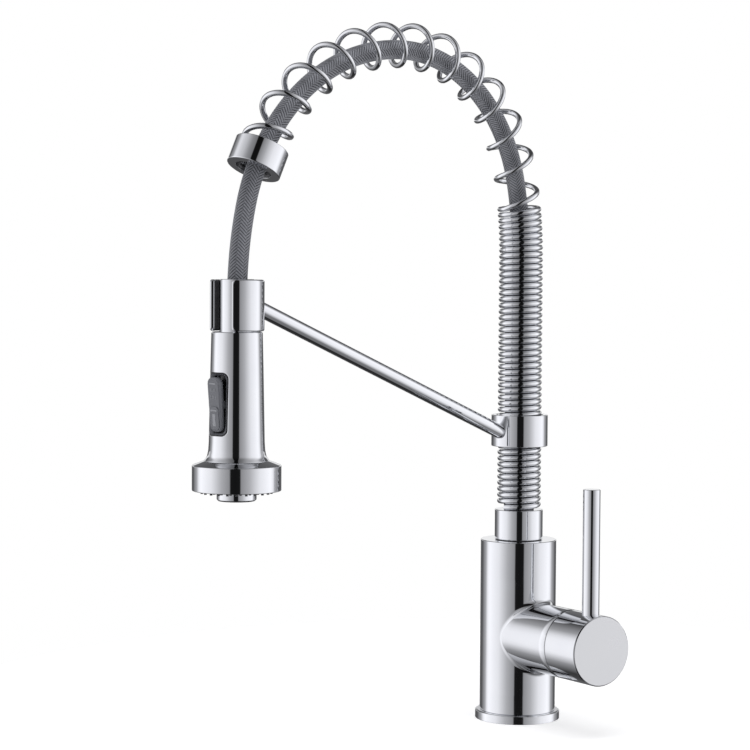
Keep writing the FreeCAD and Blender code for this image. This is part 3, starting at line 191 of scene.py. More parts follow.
def surface(name, light, dark, metal, smooth, marked, bump, cloud_size=60, line_size=900, coat=0.0):
    """A finish whose colour, gloss and grain all vary a little over the piece."""
    material = bpy.data.materials.new(name)
    material.use_nodes = True
    nodes, wire = material.node_tree.nodes, material.node_tree.links.new
    shader = nodes["Principled BSDF"]
    shader.inputs["Metallic"].default_value = metal
    shader.inputs["Coat Weight"].default_value = coat
    marks = nodes.new("ShaderNodeGroup")
    marks.node_tree = MARKS
    for title, value in (("Cloud Size", cloud_size), ("Smooth", smooth), ("Marked", marked),
                         ("Line Size", line_size)):
        marks.inputs[title].default_value = value
    tone = nodes.new("ShaderNodeMix")
    tone.data_type = "RGBA"
    tone.inputs["A"].default_value = (*dark, 1)
    tone.inputs["B"].default_value = (*light, 1)
    grain = nodes.new("ShaderNodeBump")
    grain.inputs["Strength"].default_value = bump
    grain.inputs["Distance"].default_value = 0.02 * MM
    wire(marks.outputs["Cloud"], tone.inputs["Factor"])
    wire(tone.outputs["Result"], shader.inputs["Base Color"])
    wire(marks.outputs["Roughness"], shader.inputs["Roughness"])
    wire(marks.outputs["Height"], grain.inputs["Height"])
    wire(grain.outputs["Normal"], shader.inputs["Normal"])
    return material


CHROME = surface("chrome_plate", (0.86, 0.87, 0.89), (0.80, 0.81, 0.84), 1, 0.025, 0.07, 0.03)

flange = turned("flange_ring", [
    (23.15, 0, 0.2), (24.45, 0, 0.1), (24.45, 1.6, 0.1), (27.05, 1.6, 0.1), (27.05, 0, 0.1),
    (28.2, 0, 0.2), (28.2, 5.7, 0.8), (23.15, 5.7, 0.15),
], CHROME)
settle(flange, "valve", "base_flange")

# --------------------------------------------------------------------------
# Base gasket
# A moulded rubber ring pressed into the groove under the flange, where it
# seals the flange to the worktop.
# --------------------------------------------------------------------------
RUBBER = surface("black_rubber", (0.035, 0.035, 0.037), (0.02, 0.02, 0.021), 0, 0.5, 0.75, 0.6, 220, 3000)


def dress(material, *names):
    """Give carried-over pieces their finish."""
    for name in names:
        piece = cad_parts[name]
        piece.data.materials.clear()
        piece.data.materials.append(material)


dress(RUBBER, "base_gasket", "cartridge_seals", "spigot_o_rings", "hose_lower_washer",
      "hose_upper_washer", "aerator_washer", "spool_o_rings")

# --------------------------------------------------------------------------
# Valve body
# A brass casting, turned, ground and chrome plated: an upright barrel with a
# side neck for the cartridge, blended into the barrel by a fillet.
# --------------------------------------------------------------------------
BODY_RADIUS = 25.2
NECK_RADIUS = 22.6
FILLET = 4.0
HANDLE_HEIGHT = 57.1
HANDLE_TURN = Matrix.Rotation(math.radians(-8.2), 4, "Z")
SEAM_REACH = 57.9
TILT_CENTRE = 39.0
SEAM_BALL = math.hypot(SEAM_REACH - TILT_CENTRE, NECK_RADIUS)
BORE_RADIUS, BORE_FLOOR = 17.45, 16


def border_walk(half_width, low, high, columns, rows):
    """Points (across, up) round a rectangle, starting at its lower left corner."""
    walk = []
    for step in range(columns):
        walk.append((-half_width + 2 * half_width * step / columns, low))
    for step in range(rows):
        walk.append((half_width, low + (high - low) * step / rows))
    for step in range(columns):
        walk.append((half_width - 2 * half_width * step / columns, high))
    for step in range(rows):
        walk.append((-half_width, high - (high - low) * step / rows))
    return walk


def mesh_piece(name, points, faces, finish):
    """A closed piece from points in mm; doubled points are merged."""
    mesh = bpy.data.meshes.new(name)
    mesh.from_pydata([Vector(point) * MM for point in points], [], faces)
    work = bmesh.new()
    work.from_mesh(mesh)
    bmesh.ops.remove_doubles(work, verts=work.verts, dist=0.0005 * MM)
    bmesh.ops.recalc_face_normals(work, faces=work.faces)
    work.to_mesh(mesh)
    work.free()
    mesh.shade_smooth()
    mesh.materials.append(finish)
    return placed(name, mesh)


def net(points, faces, rows, wrap):
    """Add a net of quads through rows of equal length; wrap joins each row's ends."""
    start = len(points)
    width = len(rows[0])
    for row in rows:
        points += row
    for line in range(len(rows) - 1):
        for step in range(width if wrap else width - 1):
            after = (step + 1) % width
            low, high = start + line * width, start + (line + 1) * width
            faces.append([low + step, low + after, high + after, high + step])


def cap(points, faces, row, centre):
    """Close a wrapped row with a fan."""
    start = len(points)
    points += row + [centre]
    for step in range(len(row)):
        faces.append([start + step, start + (step + 1) % len(row), start + len(row)])


def barrel_points():
    """Points and faces of the whole casting, in the valve's own frame."""
    points, faces = [], []
    half_turn = math.pi / 2
    low, high = 18.0, 96.0
    columns, rows = 96, 72

    def on_barrel(angle, height):
        return Vector((BODY_RADIUS * math.cos(angle), BODY_RADIUS * math.sin(angle), height))

    # the back half of the barrel, opposite the neck
    back = [[on_barrel(half_turn + math.pi * step / columns, low + (high - low) * line / rows)
             for step in range(columns + 1)] for line in range(rows + 1)]
    net(points, faces, back, wrap=False)
    # from the edge of the front half in to the foot of the fillet, then out along the neck
    border = border_walk(half_turn, low, high, columns, rows)
    around = [math.atan2(height - HANDLE_HEIGHT, BODY_RADIUS * angle) for angle, height in border]
    ball_out, ball_body = NECK_RADIUS + FILLET, BODY_RADIUS + FILLET
    layers = []
    steps = 22
    for step in range(steps + 1):
        share = 1 - (1 - step / steps) ** 1.6
        layer = []
        for (angle, height), turn in zip(border, around):
            y = ball_out * math.cos(turn)
            x = math.sqrt(ball_body ** 2 - y ** 2)
            foot_angle, foot_height = math.atan2(y, x), HANDLE_HEIGHT + ball_out * math.sin(turn)
            layer.append(on_barrel(angle + (foot_angle - angle) * share,
                                   height + (foot_height - height) * share))
        layers.append(layer)
    bends = 12
    for step in range(1, bends + 1):
        layer = []
        for turn in around:
            y, z = ball_out * math.cos(turn), ball_out * math.sin(turn)
            x = math.sqrt(ball_body ** 2 - y ** 2)
            to_body = Vector((-x, -y, 0)) / ball_body
            to_neck = Vector((0, -math.cos(turn), -math.sin(turn)))
            spoke = to_body.slerp(to_neck, step / bends)
            layer.append(Vector((x, y, HANDLE_HEIGHT + z)) + spoke * FILLET)
        layers.append(layer)
    for step in range(1, 9):
        layer = []
        for turn in around:
            root = math.sqrt(ball_body ** 2 - (ball_out * math.cos(turn)) ** 2)
            x = root + (SEAM_REACH - root) * step / 8
            layer.append(Vector((x, NECK_RADIUS * math.cos(turn),
                                 HANDLE_HEIGHT + NECK_RADIUS * math.sin(turn))))
        layers.append(layer)
    # the ball-shaped end of the neck, then the cartridge bore
    for radius in (22.4, 22.0, 20.5, 19.0, 17.6, BORE_RADIUS):
        x = TILT_CENTRE + math.sqrt(SEAM_BALL ** 2 - radius ** 2)
        layers.append([Vector((x, radius * math.cos(turn), HANDLE_HEIGHT + radius * math.sin(turn)))
                       for turn in around])
    layers.append([Vector((BORE_FLOOR, BORE_RADIUS * math.cos(turn),
                           HANDLE_HEIGHT + BORE_RADIUS * math.sin(turn))) for turn in around])
    net(points, faces, layers, wrap=True)
    cap(points, faces, layers[-1], Vector((BORE_FLOOR, 0, HANDLE_HEIGHT)))
    # top and foot of the barrel
    circle = [half_turn * (4 * step / (2 * columns) - 1) for step in range(2 * columns)]
    ends = (
        [(BODY_RADIUS, high, 0), (BODY_RADIUS, 120.2, 0.6), (13, 120.2, 0.3), (13, 103.3, 0.2),
         (17, 103.3, 0.2), (17, 84, 0.5), (0, 84, 0)],
        [(BODY_RADIUS, low, 0), (BODY_RADIUS, 5.75, 0.2), (23.1, 5.75, 0.2), (23.1, 0.8, 0.3),
         (20.5, 0.8, 0.3), (20.5, 34, 0.4), (0, 34, 0)],
    )
    for profile in ends:
        outline = eased(profile, close=False)
        layers = [[Vector((radius * math.cos(a), radius * math.sin(a), height)) for a in circle]
                  for radius, height in outline[:-1]]
        net(points, faces, layers, wrap=True)
        cap(points, faces, layers[-1], Vector((0, 0, outline[-1][1])))
    return [HANDLE_TURN @ point for point in points], faces


body_points, body_faces = barrel_points()
body = mesh_piece("valve_casting", body_points, body_faces, CHROME)
settle(body, "valve", "valve_body")

# --------------------------------------------------------------------------
# Supply sockets and stud socket in the foot
# Threaded brass walls inside the casting's foot, for the hot and cold hoses
# and for the M8 stud that clamps the faucet from under the deck.
# --------------------------------------------------------------------------
BRASS = surface("machined_brass", (0.80, 0.60, 0.30), (0.66, 0.47, 0.22), 1, 0.22, 0.42, 0.5, 90, 1600)


def thread_sleeve(radius, x, y, low, high, pitch):
    """Rings of a threaded sleeve's wall, with a countersunk mouth."""
    place = HANDLE_TURN @ Matrix.Translation((x, y, 0))
    wall = [(radius + 1.1, low, 0.1), (radius + 1.1, high, 0.1)]
    turns = int((high - low - 0.8) / pitch)
    for turn in range(turns):
        height = high - pitch * turn
        wall += [(radius, height - 0.15 * pitch, 0), (radius + 0.42, height - 0.6 * pitch, 0)]
    wall += [(radius, low + 0.5, 0), (radius + 0.5, low, 0.1)]
    return place, wall


SOCKET_LOW, SOCKET_HIGH = 33.4, 44.5
for title, radius, x, y, pitch in (("hot_socket", 3.8, 0, 10, 1.0), ("cold_socket", 3.8, 0, -10, 1.0),
                                   ("stud_socket", 3.3, -12, 0, 1.25)):
    place, wall = thread_sleeve(radius, x, y, SOCKET_LOW, SOCKET_HIGH, pitch)
    socket_piece = turned(title, wall, BRASS, place, steps=64)
    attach(socket_piece, "valve")

# --------------------------------------------------------------------------
# Cartridge
# A moulded housing with two lapped ceramic discs, a carrier that turns with
# the lever and a brass nut that clamps it into the neck. All of it is hidden.
# --------------------------------------------------------------------------
WHITE_MOULDING = surface("white_moulding", (0.80, 0.80, 0.77), (0.68, 0.68, 0.65), 0, 0.35, 0.5, 0.4,
                         120, 1800)
CERAMIC = surface("lapped_ceramic", (0.93, 0.92, 0.89), (0.86, 0.85, 0.81), 0, 0.12, 0.22, 0.1,
                  90, 2200, 0.3)
STEEL = surface("plain_steel", (0.62, 0.63, 0.64), (0.48, 0.49, 0.50), 1, 0.22, 0.4, 0.4, 110, 1800)
dress(WHITE_MOULDING, "cartridge_housing", "cartridge_carrier")
dress(CERAMIC, "fixed_disc", "moving_disc")
DULL_PLATE = surface("dull_plated_brass", (0.20, 0.20, 0.21), (0.12, 0.12, 0.13), 1, 0.35, 0.55, 0.5,
                     90, 1600)
dress(BRASS, "cartridge_nut", "swivel_spigot", "hose_lower_nut", "hose_upper_nut", "check_valve")
dress(DULL_PLATE, "riser_pipe")
dress(STEEL, "stem_pin", "lever_stem", "hub_set_screw", "swivel_clip", "arm_set_screw",
      "neck_snap_ring", "rocker_pin", "diverter_spool")
dress(CHROME, "bonnet_ring")

# --------------------------------------------------------------------------
# Lever hub
# A turned and chromed cap on the end of the neck. Its inner edge is ball
# shaped, so it can tilt over the neck, and its flat end is lightly chamfered.
# --------------------------------------------------------------------------
HANDLE = HANDLE_TURN @ Matrix.Translation((0, 0, HANDLE_HEIGHT)) @ Matrix.Rotation(math.pi / 2, 4, "Y")
HUB_FACE = 88.9
LEVER_REACH = 77.4


def on_seam(radius, clear=0.3):
    """How far along the handle axis the ball-shaped seam is at a radius."""
    return TILT_CENTRE + math.sqrt((SEAM_BALL + clear) ** 2 - radius ** 2)


hub = turned("lever_hub", [
    (0, 80.7, 0), (4.55, 80.7, 0.1), (4.55, 69.3, 0.1), (9, 69.3, 0.2), (9, 83.9, 0.5),
    (18.5, 83.9, 1), (18.5, on_seam(18.5), 0.1), (20.4, on_seam(20.4), 3), (22.3, on_seam(22.3), 0.1),
    (22.6, on_seam(22.3) + 0.35, 0.3), (22.6, HUB_FACE - 0.7, 0.3), (21.9, HUB_FACE, 0.4),
    (0, HUB_FACE, 0),
], CHROME, HANDLE)
SATIN = surface("satin_plate", (0.72, 0.725, 0.735), (0.69, 0.695, 0.705), 1, 0.27, 0.29, 0.08, 30, 1500)
hub.data.materials.append(SATIN)
for face in hub.data.polygons:
    along_axis = (HANDLE.inverted() @ (face.center / MM)).z
    face.material_index = int(along_axis > HUB_FACE - 0.02)
settle(hub, "handle", "handle_hub")

# --------------------------------------------------------------------------
# Lever rod
# Plain chromed bar, pressed into the hub from above, with a flat end whose
# edge is only broken.
# --------------------------------------------------------------------------
AT_LEVER = HANDLE_TURN @ Matrix.Translation((LEVER_REACH, 0, 0))
lever = turned("lever_bar", [
    (0, 66.6, 0), (5.55, 66.6, 0.3), (5.55, 160, 0.45), (0, 160, 0),
], CHROME, AT_LEVER, steps=96)
settle(lever, "handle", "lever_rod")

# --------------------------------------------------------------------------
# Index plug
# A small plastic plug, ring-marked, that covers the grub screw in the
# underside of the hub.
# --------------------------------------------------------------------------
BLACK_PLASTIC = surface("black_plastic", (0.045, 0.045, 0.05), (0.025, 0.025, 0.028), 0, 0.34, 0.52, 0.6,
                        160, 2600)
plug = turned("hub_plug", [
    (0, 34.9, 0), (1.2, 34.9, 0.1), (1.5, 35.2, 0.1), (1.8, 34.9, 0.1), (2.7, 34.9, 0.2),
    (3.0, 35.2, 0.2), (3.0, 38.1, 0.1), (0, 38.1, 0),
], BLACK_PLASTIC, AT_LEVER, steps=64)
settle(plug, "handle", "index_plug")

# --------------------------------------------------------------------------
# Riser ferrule
# Chromed turned sleeve over the swivel spigot. It turns with the spout on the
# thin bearing washer that shows as a fine dark line under it.
# --------------------------------------------------------------------------
ferrule = turned("spout_ferrule", [
    (12.6, 120.6, 0.1), (16, 120.6, 0.35), (16, 140.3, 0.6), (10.05, 140.3, 0.3),
    (10.05, 134.3, 0.1), (12.6, 134.3, 0.1),
], CHROME)
settle(ferrule, "spout", "riser_ferrule")
dress(BLACK_PLASTIC, "swivel_washer", "collar_liner", "pipe_top_bush")

# --------------------------------------------------------------------------
# Spring
# One length of round steel wire, chrome plated: close-wound up the riser and
# pulled open over the arch, ending closed inside the end collar.
# --------------------------------------------------------------------------
REACH, CROWN_REACH = 239.0, 105.5
BEND_FOOT = 310.3
RISE_LEAN, RISE_BEND = math.radians(13), 230.0
DROP_LEAN, DROP_BEND = math.radians(13.6), 236.0
RISE_CROWN = (CROWN_REACH - RISE_BEND * (1 - math.cos(RISE_LEAN))) / math.cos(RISE_LEAN)
CROWN_HEIGHT = BEND_FOOT + RISE_BEND * math.sin(RISE_LEAN) + RISE_CROWN * (1 - math.sin(RISE_LEAN))
DROP_CROWN = (REACH - CROWN_REACH - DROP_BEND * (1 - math.cos(DROP_LEAN))) / math.cos(DROP_LEAN)
DROP_FOOT = CROWN_HEIGHT - DROP_BEND * math.sin(DROP_LEAN) - DROP_CROWN * (1 - math.sin(DROP_LEAN))
NECK_TOP = DROP_FOOT + 8.6


def arch_stretches(sag, low, end):
    """Stretches of the arch's line: straight ones and arcs, each as a length and a function."""
    quarter = math.pi / 2
    bends = [
        (-1, -RISE_BEND, BEND_FOOT, RISE_BEND, 0, RISE_LEAN),
        (-1, -CROWN_REACH, CROWN_HEIGHT - RISE_CROWN, RISE_CROWN, RISE_LEAN, quarter),
        (1, -CROWN_REACH, CROWN_HEIGHT - DROP_CROWN, DROP_CROWN, quarter, DROP_LEAN),
        (1, DROP_BEND - REACH, DROP_FOOT, DROP_BEND, DROP_LEAN, 0),
    ]
    stretches = [(BEND_FOOT - sag - low, lambda way: (Vector((0, 0, low + way)), Vector((0, 0, 1))))]
    for side, y, z, radius, start, stop in bends:
        def on_arc(way, side=side, y=y, z=z, radius=radius, start=start, stop=stop):
            lean = start + math.copysign(way / radius, stop - start)
            point = Vector((0, y - side * radius * math.cos(lean), z - sag + radius * math.sin(lean)))
            onward = Vector((0, side * math.sin(lean), math.cos(lean)))
            return point, onward * math.copysign(1, stop - start)
        stretches.append((radius * abs(stop - start), on_arc))
    foot = DROP_FOOT - sag
    stretches.append((foot - end, lambda way: (Vector((0, -REACH, foot - way)), Vector((0, 0, -1)))))
    return stretches


def along(stretches, way):
    """Point and direction at a distance along the line."""
    for length, place in stretches:
        if way <= length or place is stretches[-1][1]:
            return place(way)
        way -= length


def way_down_to(stretches, height):
    """Distance along the line at which its falling side reaches a height."""
    past_crown, stride, way = 300, 0.05, 0.0
    while along(stretches, way)[0].z > height or way < past_crown:
        way += stride
    return way


WIRE, COIL_RADIUS, PITCH = 1.8, 12.8, 4.08
COIL_LOW = 140.3 + WIRE + 0.1
COIL_TURNS = round((BEND_FOOT + 3 - COIL_LOW) / PITCH)
CLOSE_TURNS, OPEN_TURNS, END_TURNS = 7, 13, 1
spring_line = arch_stretches(0, COIL_LOW, NECK_TOP)
COLLAR_WAY = way_down_to(spring_line, DROP_FOOT + 80.2)
COLLAR_LENGTH, COLLAR_FLOOR = 16.2, 3
SPRING_END = COLLAR_WAY + COLLAR_LENGTH / 2 - COLLAR_FLOOR - WIRE - 0.2
OPEN_START = (COIL_TURNS + CLOSE_TURNS) * PITCH
OPEN_END = SPRING_END - END_TURNS * PITCH


def spring_way(turn):
    """Distance along the line at a turn of the spring, eased where it opens and closes."""
    close = COIL_TURNS + CLOSE_TURNS
    if turn <= close:
        return turn * PITCH
    if turn <= close + OPEN_TURNS:
        return OPEN_START + (OPEN_END - OPEN_START) * (turn - close) / OPEN_TURNS
    return OPEN_END + (turn - close - OPEN_TURNS) * PITCH


def wire_tree(finish):
    """Geometry Nodes: round wire drawn along a centreline, wound out by each point's angle."""
    tree = bpy.data.node_groups.new("wound_wire", "GeometryNodeTree")
    face = tree.interface
    face.new_socket("Centreline", in_out="INPUT", socket_type="NodeSocketGeometry")
    for title, value in (("Coil Radius", COIL_RADIUS * MM), ("Wire Radius", WIRE * MM)):
        face.new_socket(title, in_out="INPUT", socket_type="NodeSocketFloat").default_value = value
    face.new_socket("Sides", in_out="INPUT", socket_type="NodeSocketInt").default_value = 14
    face.new_socket("Wire", in_out="OUTPUT", socket_type="NodeSocketGeometry")
    add, wire = tree.nodes.new, tree.links.new
    inside, outside = add("NodeGroupInput"), add("NodeGroupOutput")
    curve = add("GeometryNodeMeshToCurve")
    wire(inside.outputs["Centreline"], curve.inputs["Mesh"])
    spoke = add("GeometryNodeInputNamedAttribute")
    spoke.data_type = "FLOAT_VECTOR"
    spoke.inputs["Name"].default_value = "spoke"
    scaled = add("ShaderNodeVectorMath")
    scaled.operation = "SCALE"
    wire(spoke.outputs["Attribute"], scaled.inputs[0])
    wire(inside.outputs["Coil Radius"], scaled.inputs["Scale"])
    wound = add("GeometryNodeSetPosition")
    wire(curve.outputs["Curve"], wound.inputs["Geometry"])
    wire(scaled.outputs[0], wound.inputs["Offset"])
    section = add("GeometryNodeCurvePrimitiveCircle")
    wire(inside.outputs["Sides"], section.inputs["Resolution"])
    wire(inside.outputs["Wire Radius"], section.inputs["Radius"])
    drawn = add("GeometryNodeCurveToMesh")
    drawn.inputs["Fill Caps"].default_value = True
    wire(wound.outputs["Geometry"], drawn.inputs["Curve"])
    wire(section.outputs["Curve"], drawn.inputs["Profile Curve"])
    real = add("GeometryNodeRealizeInstances")
    wire(drawn.outputs["Mesh"], real.inputs["Geometry"])
    coat = add("GeometryNodeSetMaterial")
    coat.inputs["Material"].default_value = finish
    wire(real.outputs["Geometry"], coat.inputs["Geometry"])
    wire(coat.outputs["Geometry"], outside.inputs["Wire"])
    return tree


def grown(name, source, tree, finish, **sizes):
    """Run a tree on a source mesh and keep the result as a plain piece."""
    modifier = source.modifiers.new(tree.name, "NODES")
    modifier.node_group = tree
    sockets = {item.name: item.identifier for item in tree.interface.items_tree if item.in_out == "INPUT"}
    for title, value in sizes.items():
        modifier[sockets[title.replace("_", " ")]] = value
    evaluated = source.evaluated_get(bpy.context.evaluated_depsgraph_get())
    mesh = bpy.data.meshes.new_from_object(evaluated)
    mesh.name = name
    mesh.shade_smooth()
    mesh.materials.clear()
    mesh.materials.append(finish)
    source.modifiers.remove(modifier)
    bpy.data.objects.remove(source)
    return placed(name, mesh)


def wound(name, first, last, steps):
    """The wire from one turn of the spring to another."""
    centres, spokes = [], []
    count = round((last - first) * steps)
    for step in range(count + 1):
        turn = first + step / steps
        point, onward = along(spring_line, spring_way(turn))
        side = Vector((1, 0, 0))
        angle = 2 * math.pi * turn
        centres.append(point * MM)
        spokes.append(side.cross(onward) * math.cos(angle) + side * math.sin(angle))
    line = bpy.data.meshes.new(f"{name}_line")
    line.from_pydata(centres, [(step, step + 1) for step in range(count)], [])
    spoke = line.attributes.new("spoke", "FLOAT_VECTOR", "POINT")
    spoke.data.foreach_set("vector", [value for item in spokes for value in item])
    return grown(name, placed(f"{name}_line", line), WIRE_TREE, CHROME)


WIRE_TREE = wire_tree(CHROME)
TOTAL_TURNS = COIL_TURNS + CLOSE_TURNS + OPEN_TURNS + END_TURNS
riser_spring = wound("riser_spring", 0, COIL_TURNS, 40)
settle(riser_spring, "spout", "riser_coil")
open_spring = wound("open_spring", COIL_TURNS, TOTAL_TURNS, 64)
settle(open_spring, "spout", "arch_spring")

# --------------------------------------------------------------------------
# Spring end collar and its bush
# A chromed turned cup that holds the spring's last turn, with a black bush
# that guides the hose through its underside.
# --------------------------------------------------------------------------
collar_point, collar_onward = along(spring_line, COLLAR_WAY)
AT_COLLAR = Matrix.Translation(collar_point) @ collar_onward.to_track_quat("-Z", "X").to_matrix().to_4x4()
end_collar = turned("end_collar", [
    (11.2, -8.1, 0.2), (16.7, -8.1, 0.5), (16.7, 8.1, 0.5), (14.95, 8.1, 0.2), (14.95, -5.1, 0.3),
    (11.2, -5.1, 0.2),
], CHROME, AT_COLLAR)
settle(end_collar, "spout", "spring_collar")
bush = turned("end_bush", [
    (8.2, -7.1, 0.6), (11.15, -7.1, 0.2), (11.15, -5.1, 0.2), (8.2, -5.1, 0.6),
], BLACK_PLASTIC, AT_COLLAR, steps=96)
settle(bush, "spout", "collar_bush")

# --------------------------------------------------------------------------
# Spray hose
# A flexible hose in a braided grey sleeve. It runs up the riser pipe, over
# the arch inside the spring and down into the swivel nut of the spray head.
# --------------------------------------------------------------------------
STRANDS = 16
LAY = 32.0


def braid_finish():
    """Grey braided sleeve laid out strand by strand on the UV map: each yarn is painted darker at its edges
    and lighter along its middle, and yarns passing over are painted lighter, as painted shade between and
    under the yarns; noise flecks vary the grey at random.
    """
    material = bpy.data.materials.new("braided_sleeve")
    material.use_nodes = True
    nodes, wire = material.node_tree.nodes, material.node_tree.links.new
    shader = nodes["Principled BSDF"]
    shader.inputs["Sheen Weight"].default_value = 0.15

    def sum_of(kind, first, second=None, value=None):
        step = nodes.new("ShaderNodeMath")
        step.operation = kind
        wire(first, step.inputs[0])
        if second is not None:
            wire(second, step.inputs[1])
        if value is not None:
            step.inputs[1].default_value = value
        return step.outputs[0]

    place = nodes.new("ShaderNodeUVMap")
    place.uv_map = "sleeve"
    split = nodes.new("ShaderNodeSeparateXYZ")
    wire(place.outputs["UV"], split.inputs[0])
    one = sum_of("ADD", split.outputs["X"], split.outputs["Y"])
    two = sum_of("SUBTRACT", split.outputs["X"], split.outputs["Y"])
    cells = sum_of("ADD", sum_of("FLOOR", one), sum_of("FLOOR", two))
    # painted shade: yarns passing under are painted darker than the yarns passing over them
    over = sum_of("LESS_THAN", sum_of("FLOORED_MODULO", cells, value=8), value=3.5)
    # painted shade: each yarn is dark at its edges and light along its middle, as shade between round yarns;
    # the same ridges also drive the bump
    ridges = [sum_of("SINE", sum_of("MULTIPLY", sum_of("FRACT", strand), value=math.pi))
              for strand in (one, two)]
    weave = nodes.new("ShaderNodeMix")
    wire(over, weave.inputs["Factor"])
    wire(ridges[1], weave.inputs["A"])
    wire(ridges[0], weave.inputs["B"])
    fleck = nodes.new("ShaderNodeTexNoise")
    fleck.inputs["Scale"].default_value = 700
    fleck.inputs["Detail"].default_value = 3
    where = nodes.new("ShaderNodeTexCoord")
    wire(where.outputs["Object"], fleck.inputs["Vector"])
    # the painted yarn shade plus random flecks set how dark the grey is
    tone = sum_of("ADD", sum_of("MULTIPLY", weave.outputs["Result"], value=0.62),
                  sum_of("MULTIPLY", over, value=0.10))
    tone = sum_of("ADD", tone, sum_of("MULTIPLY", fleck.outputs["Fac"], value=0.28))
    ramp = nodes.new("ShaderNodeValToRGB")
    ramp.color_ramp.elements[0].position = 0.25
    ramp.color_ramp.elements[0].color = (0.035, 0.037, 0.043, 1)
    ramp.color_ramp.elements[1].position = 0.85
    ramp.color_ramp.elements[1].color = (0.40, 0.41, 0.45, 1)
    wire(tone, ramp.inputs["Fac"])
    wire(ramp.outputs["Color"], shader.inputs["Base Color"])
    rough = nodes.new("ShaderNodeMapRange")
    rough.inputs["To Min"].default_value = 0.42
    rough.inputs["To Max"].default_value = 0.66
    wire(fleck.outputs["Fac"], rough.inputs["Value"])
    wire(rough.outputs["Result"], shader.inputs["Roughness"])
    bump = nodes.new("ShaderNodeBump")
    bump.inputs["Strength"].default_value = 0.8
    bump.inputs["Distance"].default_value = 0.25 * MM
    wire(weave.outputs["Result"], bump.inputs["Height"])
    wire(bump.outputs["Normal"], shader.inputs["Normal"])
    return material


BRAID = braid_finish()
HOSE_RADIUS = 6.0
hose_line = arch_stretches(2.9, 104.0, NECK_TOP - 18.6)
hose_length = sum(length for length, _ in hose_line)


def hose_run(name, first, last, count):
    """One length of the hose, with its lay carried on the UV map so the weave runs through."""
    steps = 6 * STRANDS
    ways = [first + (last - first) * row / count for row in range(count + 1)]
    points, faces = [], []
    for way in ways:
        point, onward = along(hose_line, way)
        side = Vector((1, 0, 0))
        outward = side.cross(onward)
        for step in range(steps):
            angle = 2 * math.pi * step / steps
            points.append((point + (outward * math.cos(angle) + side * math.sin(angle)) * HOSE_RADIUS) * MM)
    for row in range(count):
        for step in range(steps):
            after = (step + 1) % steps
            low, high = row * steps, (row + 1) * steps
            faces.append([low + step, low + after, high + after, high + step])
    faces.append(list(range(steps)))
    faces.append([count * steps + step for step in reversed(range(steps))])
    mesh = bpy.data.meshes.new(name)
    mesh.from_pydata(points, [], faces)
    sleeve = mesh.uv_layers.new(name="sleeve")
    for face in mesh.polygons:
        for loop in face.loop_indices:
            row, step = divmod(mesh.loops[loop].vertex_index, steps)
            if len(face.vertices) == 4 and face.index % steps == steps - 1 and step == 0:
                step = steps
            sleeve.data[loop].uv = (STRANDS * step / steps, STRANDS * ways[row] / LAY)
    outward_faces(mesh)
    mesh.shade_smooth()
    mesh.materials.append(BRAID)
    piece = placed(name, mesh)
    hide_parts("spray_hose")
    return piece


hose_joint = way_down_to(hose_line, DROP_FOOT + 79)
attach(hose_run("hose_in_spring", 0, hose_joint, 420), "spout")
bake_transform(hose_run("hose_drop", hose_joint, hose_length, 110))

# --------------------------------------------------------------------------
# Arm collar and arm rod
# A chromed sleeve held round the spring by a grub screw and a black liner,
# and the chromed rod that runs from it out to the holder clip.
# --------------------------------------------------------------------------
arm_collar = turned("riser_clamp", [
    (15.75, 182.7, 0.2), (18.75, 182.7, 0.5), (18.75, 203.7, 0.5), (15.75, 203.7, 0.2),
], CHROME)
settle(arm_collar, "spout", "arm_collar")

HOLDER_LOW = NECK_TOP - 31.9
HOLDER_HIGH = NECK_TOP - 1.2
ARM_ROOT = 185.3
ARM_SLOPE = math.atan((HOLDER_LOW + 20.2 - ARM_ROOT) / REACH)
arm_near, arm_far = 18.0, REACH - 16.3 + 1.1
arm_direction = Vector((0, -math.cos(ARM_SLOPE), math.sin(ARM_SLOPE)))
AT_ARM = (Matrix.Translation((0, -arm_near, ARM_ROOT + arm_near * math.tan(ARM_SLOPE)))
          @ arm_direction.to_track_quat("Z", "X").to_matrix().to_4x4())
arm = turned("holder_arm", [
    (0, 0, 0), (4.65, 0, 0.3), (4.65, (arm_far - arm_near) / math.cos(ARM_SLOPE), 0.3),
    (0, (arm_far - arm_near) / math.cos(ARM_SLOPE), 0),
], CHROME, AT_ARM, steps=96)
settle(arm, "spout", "arm_rod")

# --------------------------------------------------------------------------
# Holder clip and its liner
# A chromed sleeve, open at the front so that the hose can pass, with rounded
# lips and a thin black liner that the head's neck rests in.
# --------------------------------------------------------------------------
AT_HEAD = Matrix.Translation((0, -REACH, 0))


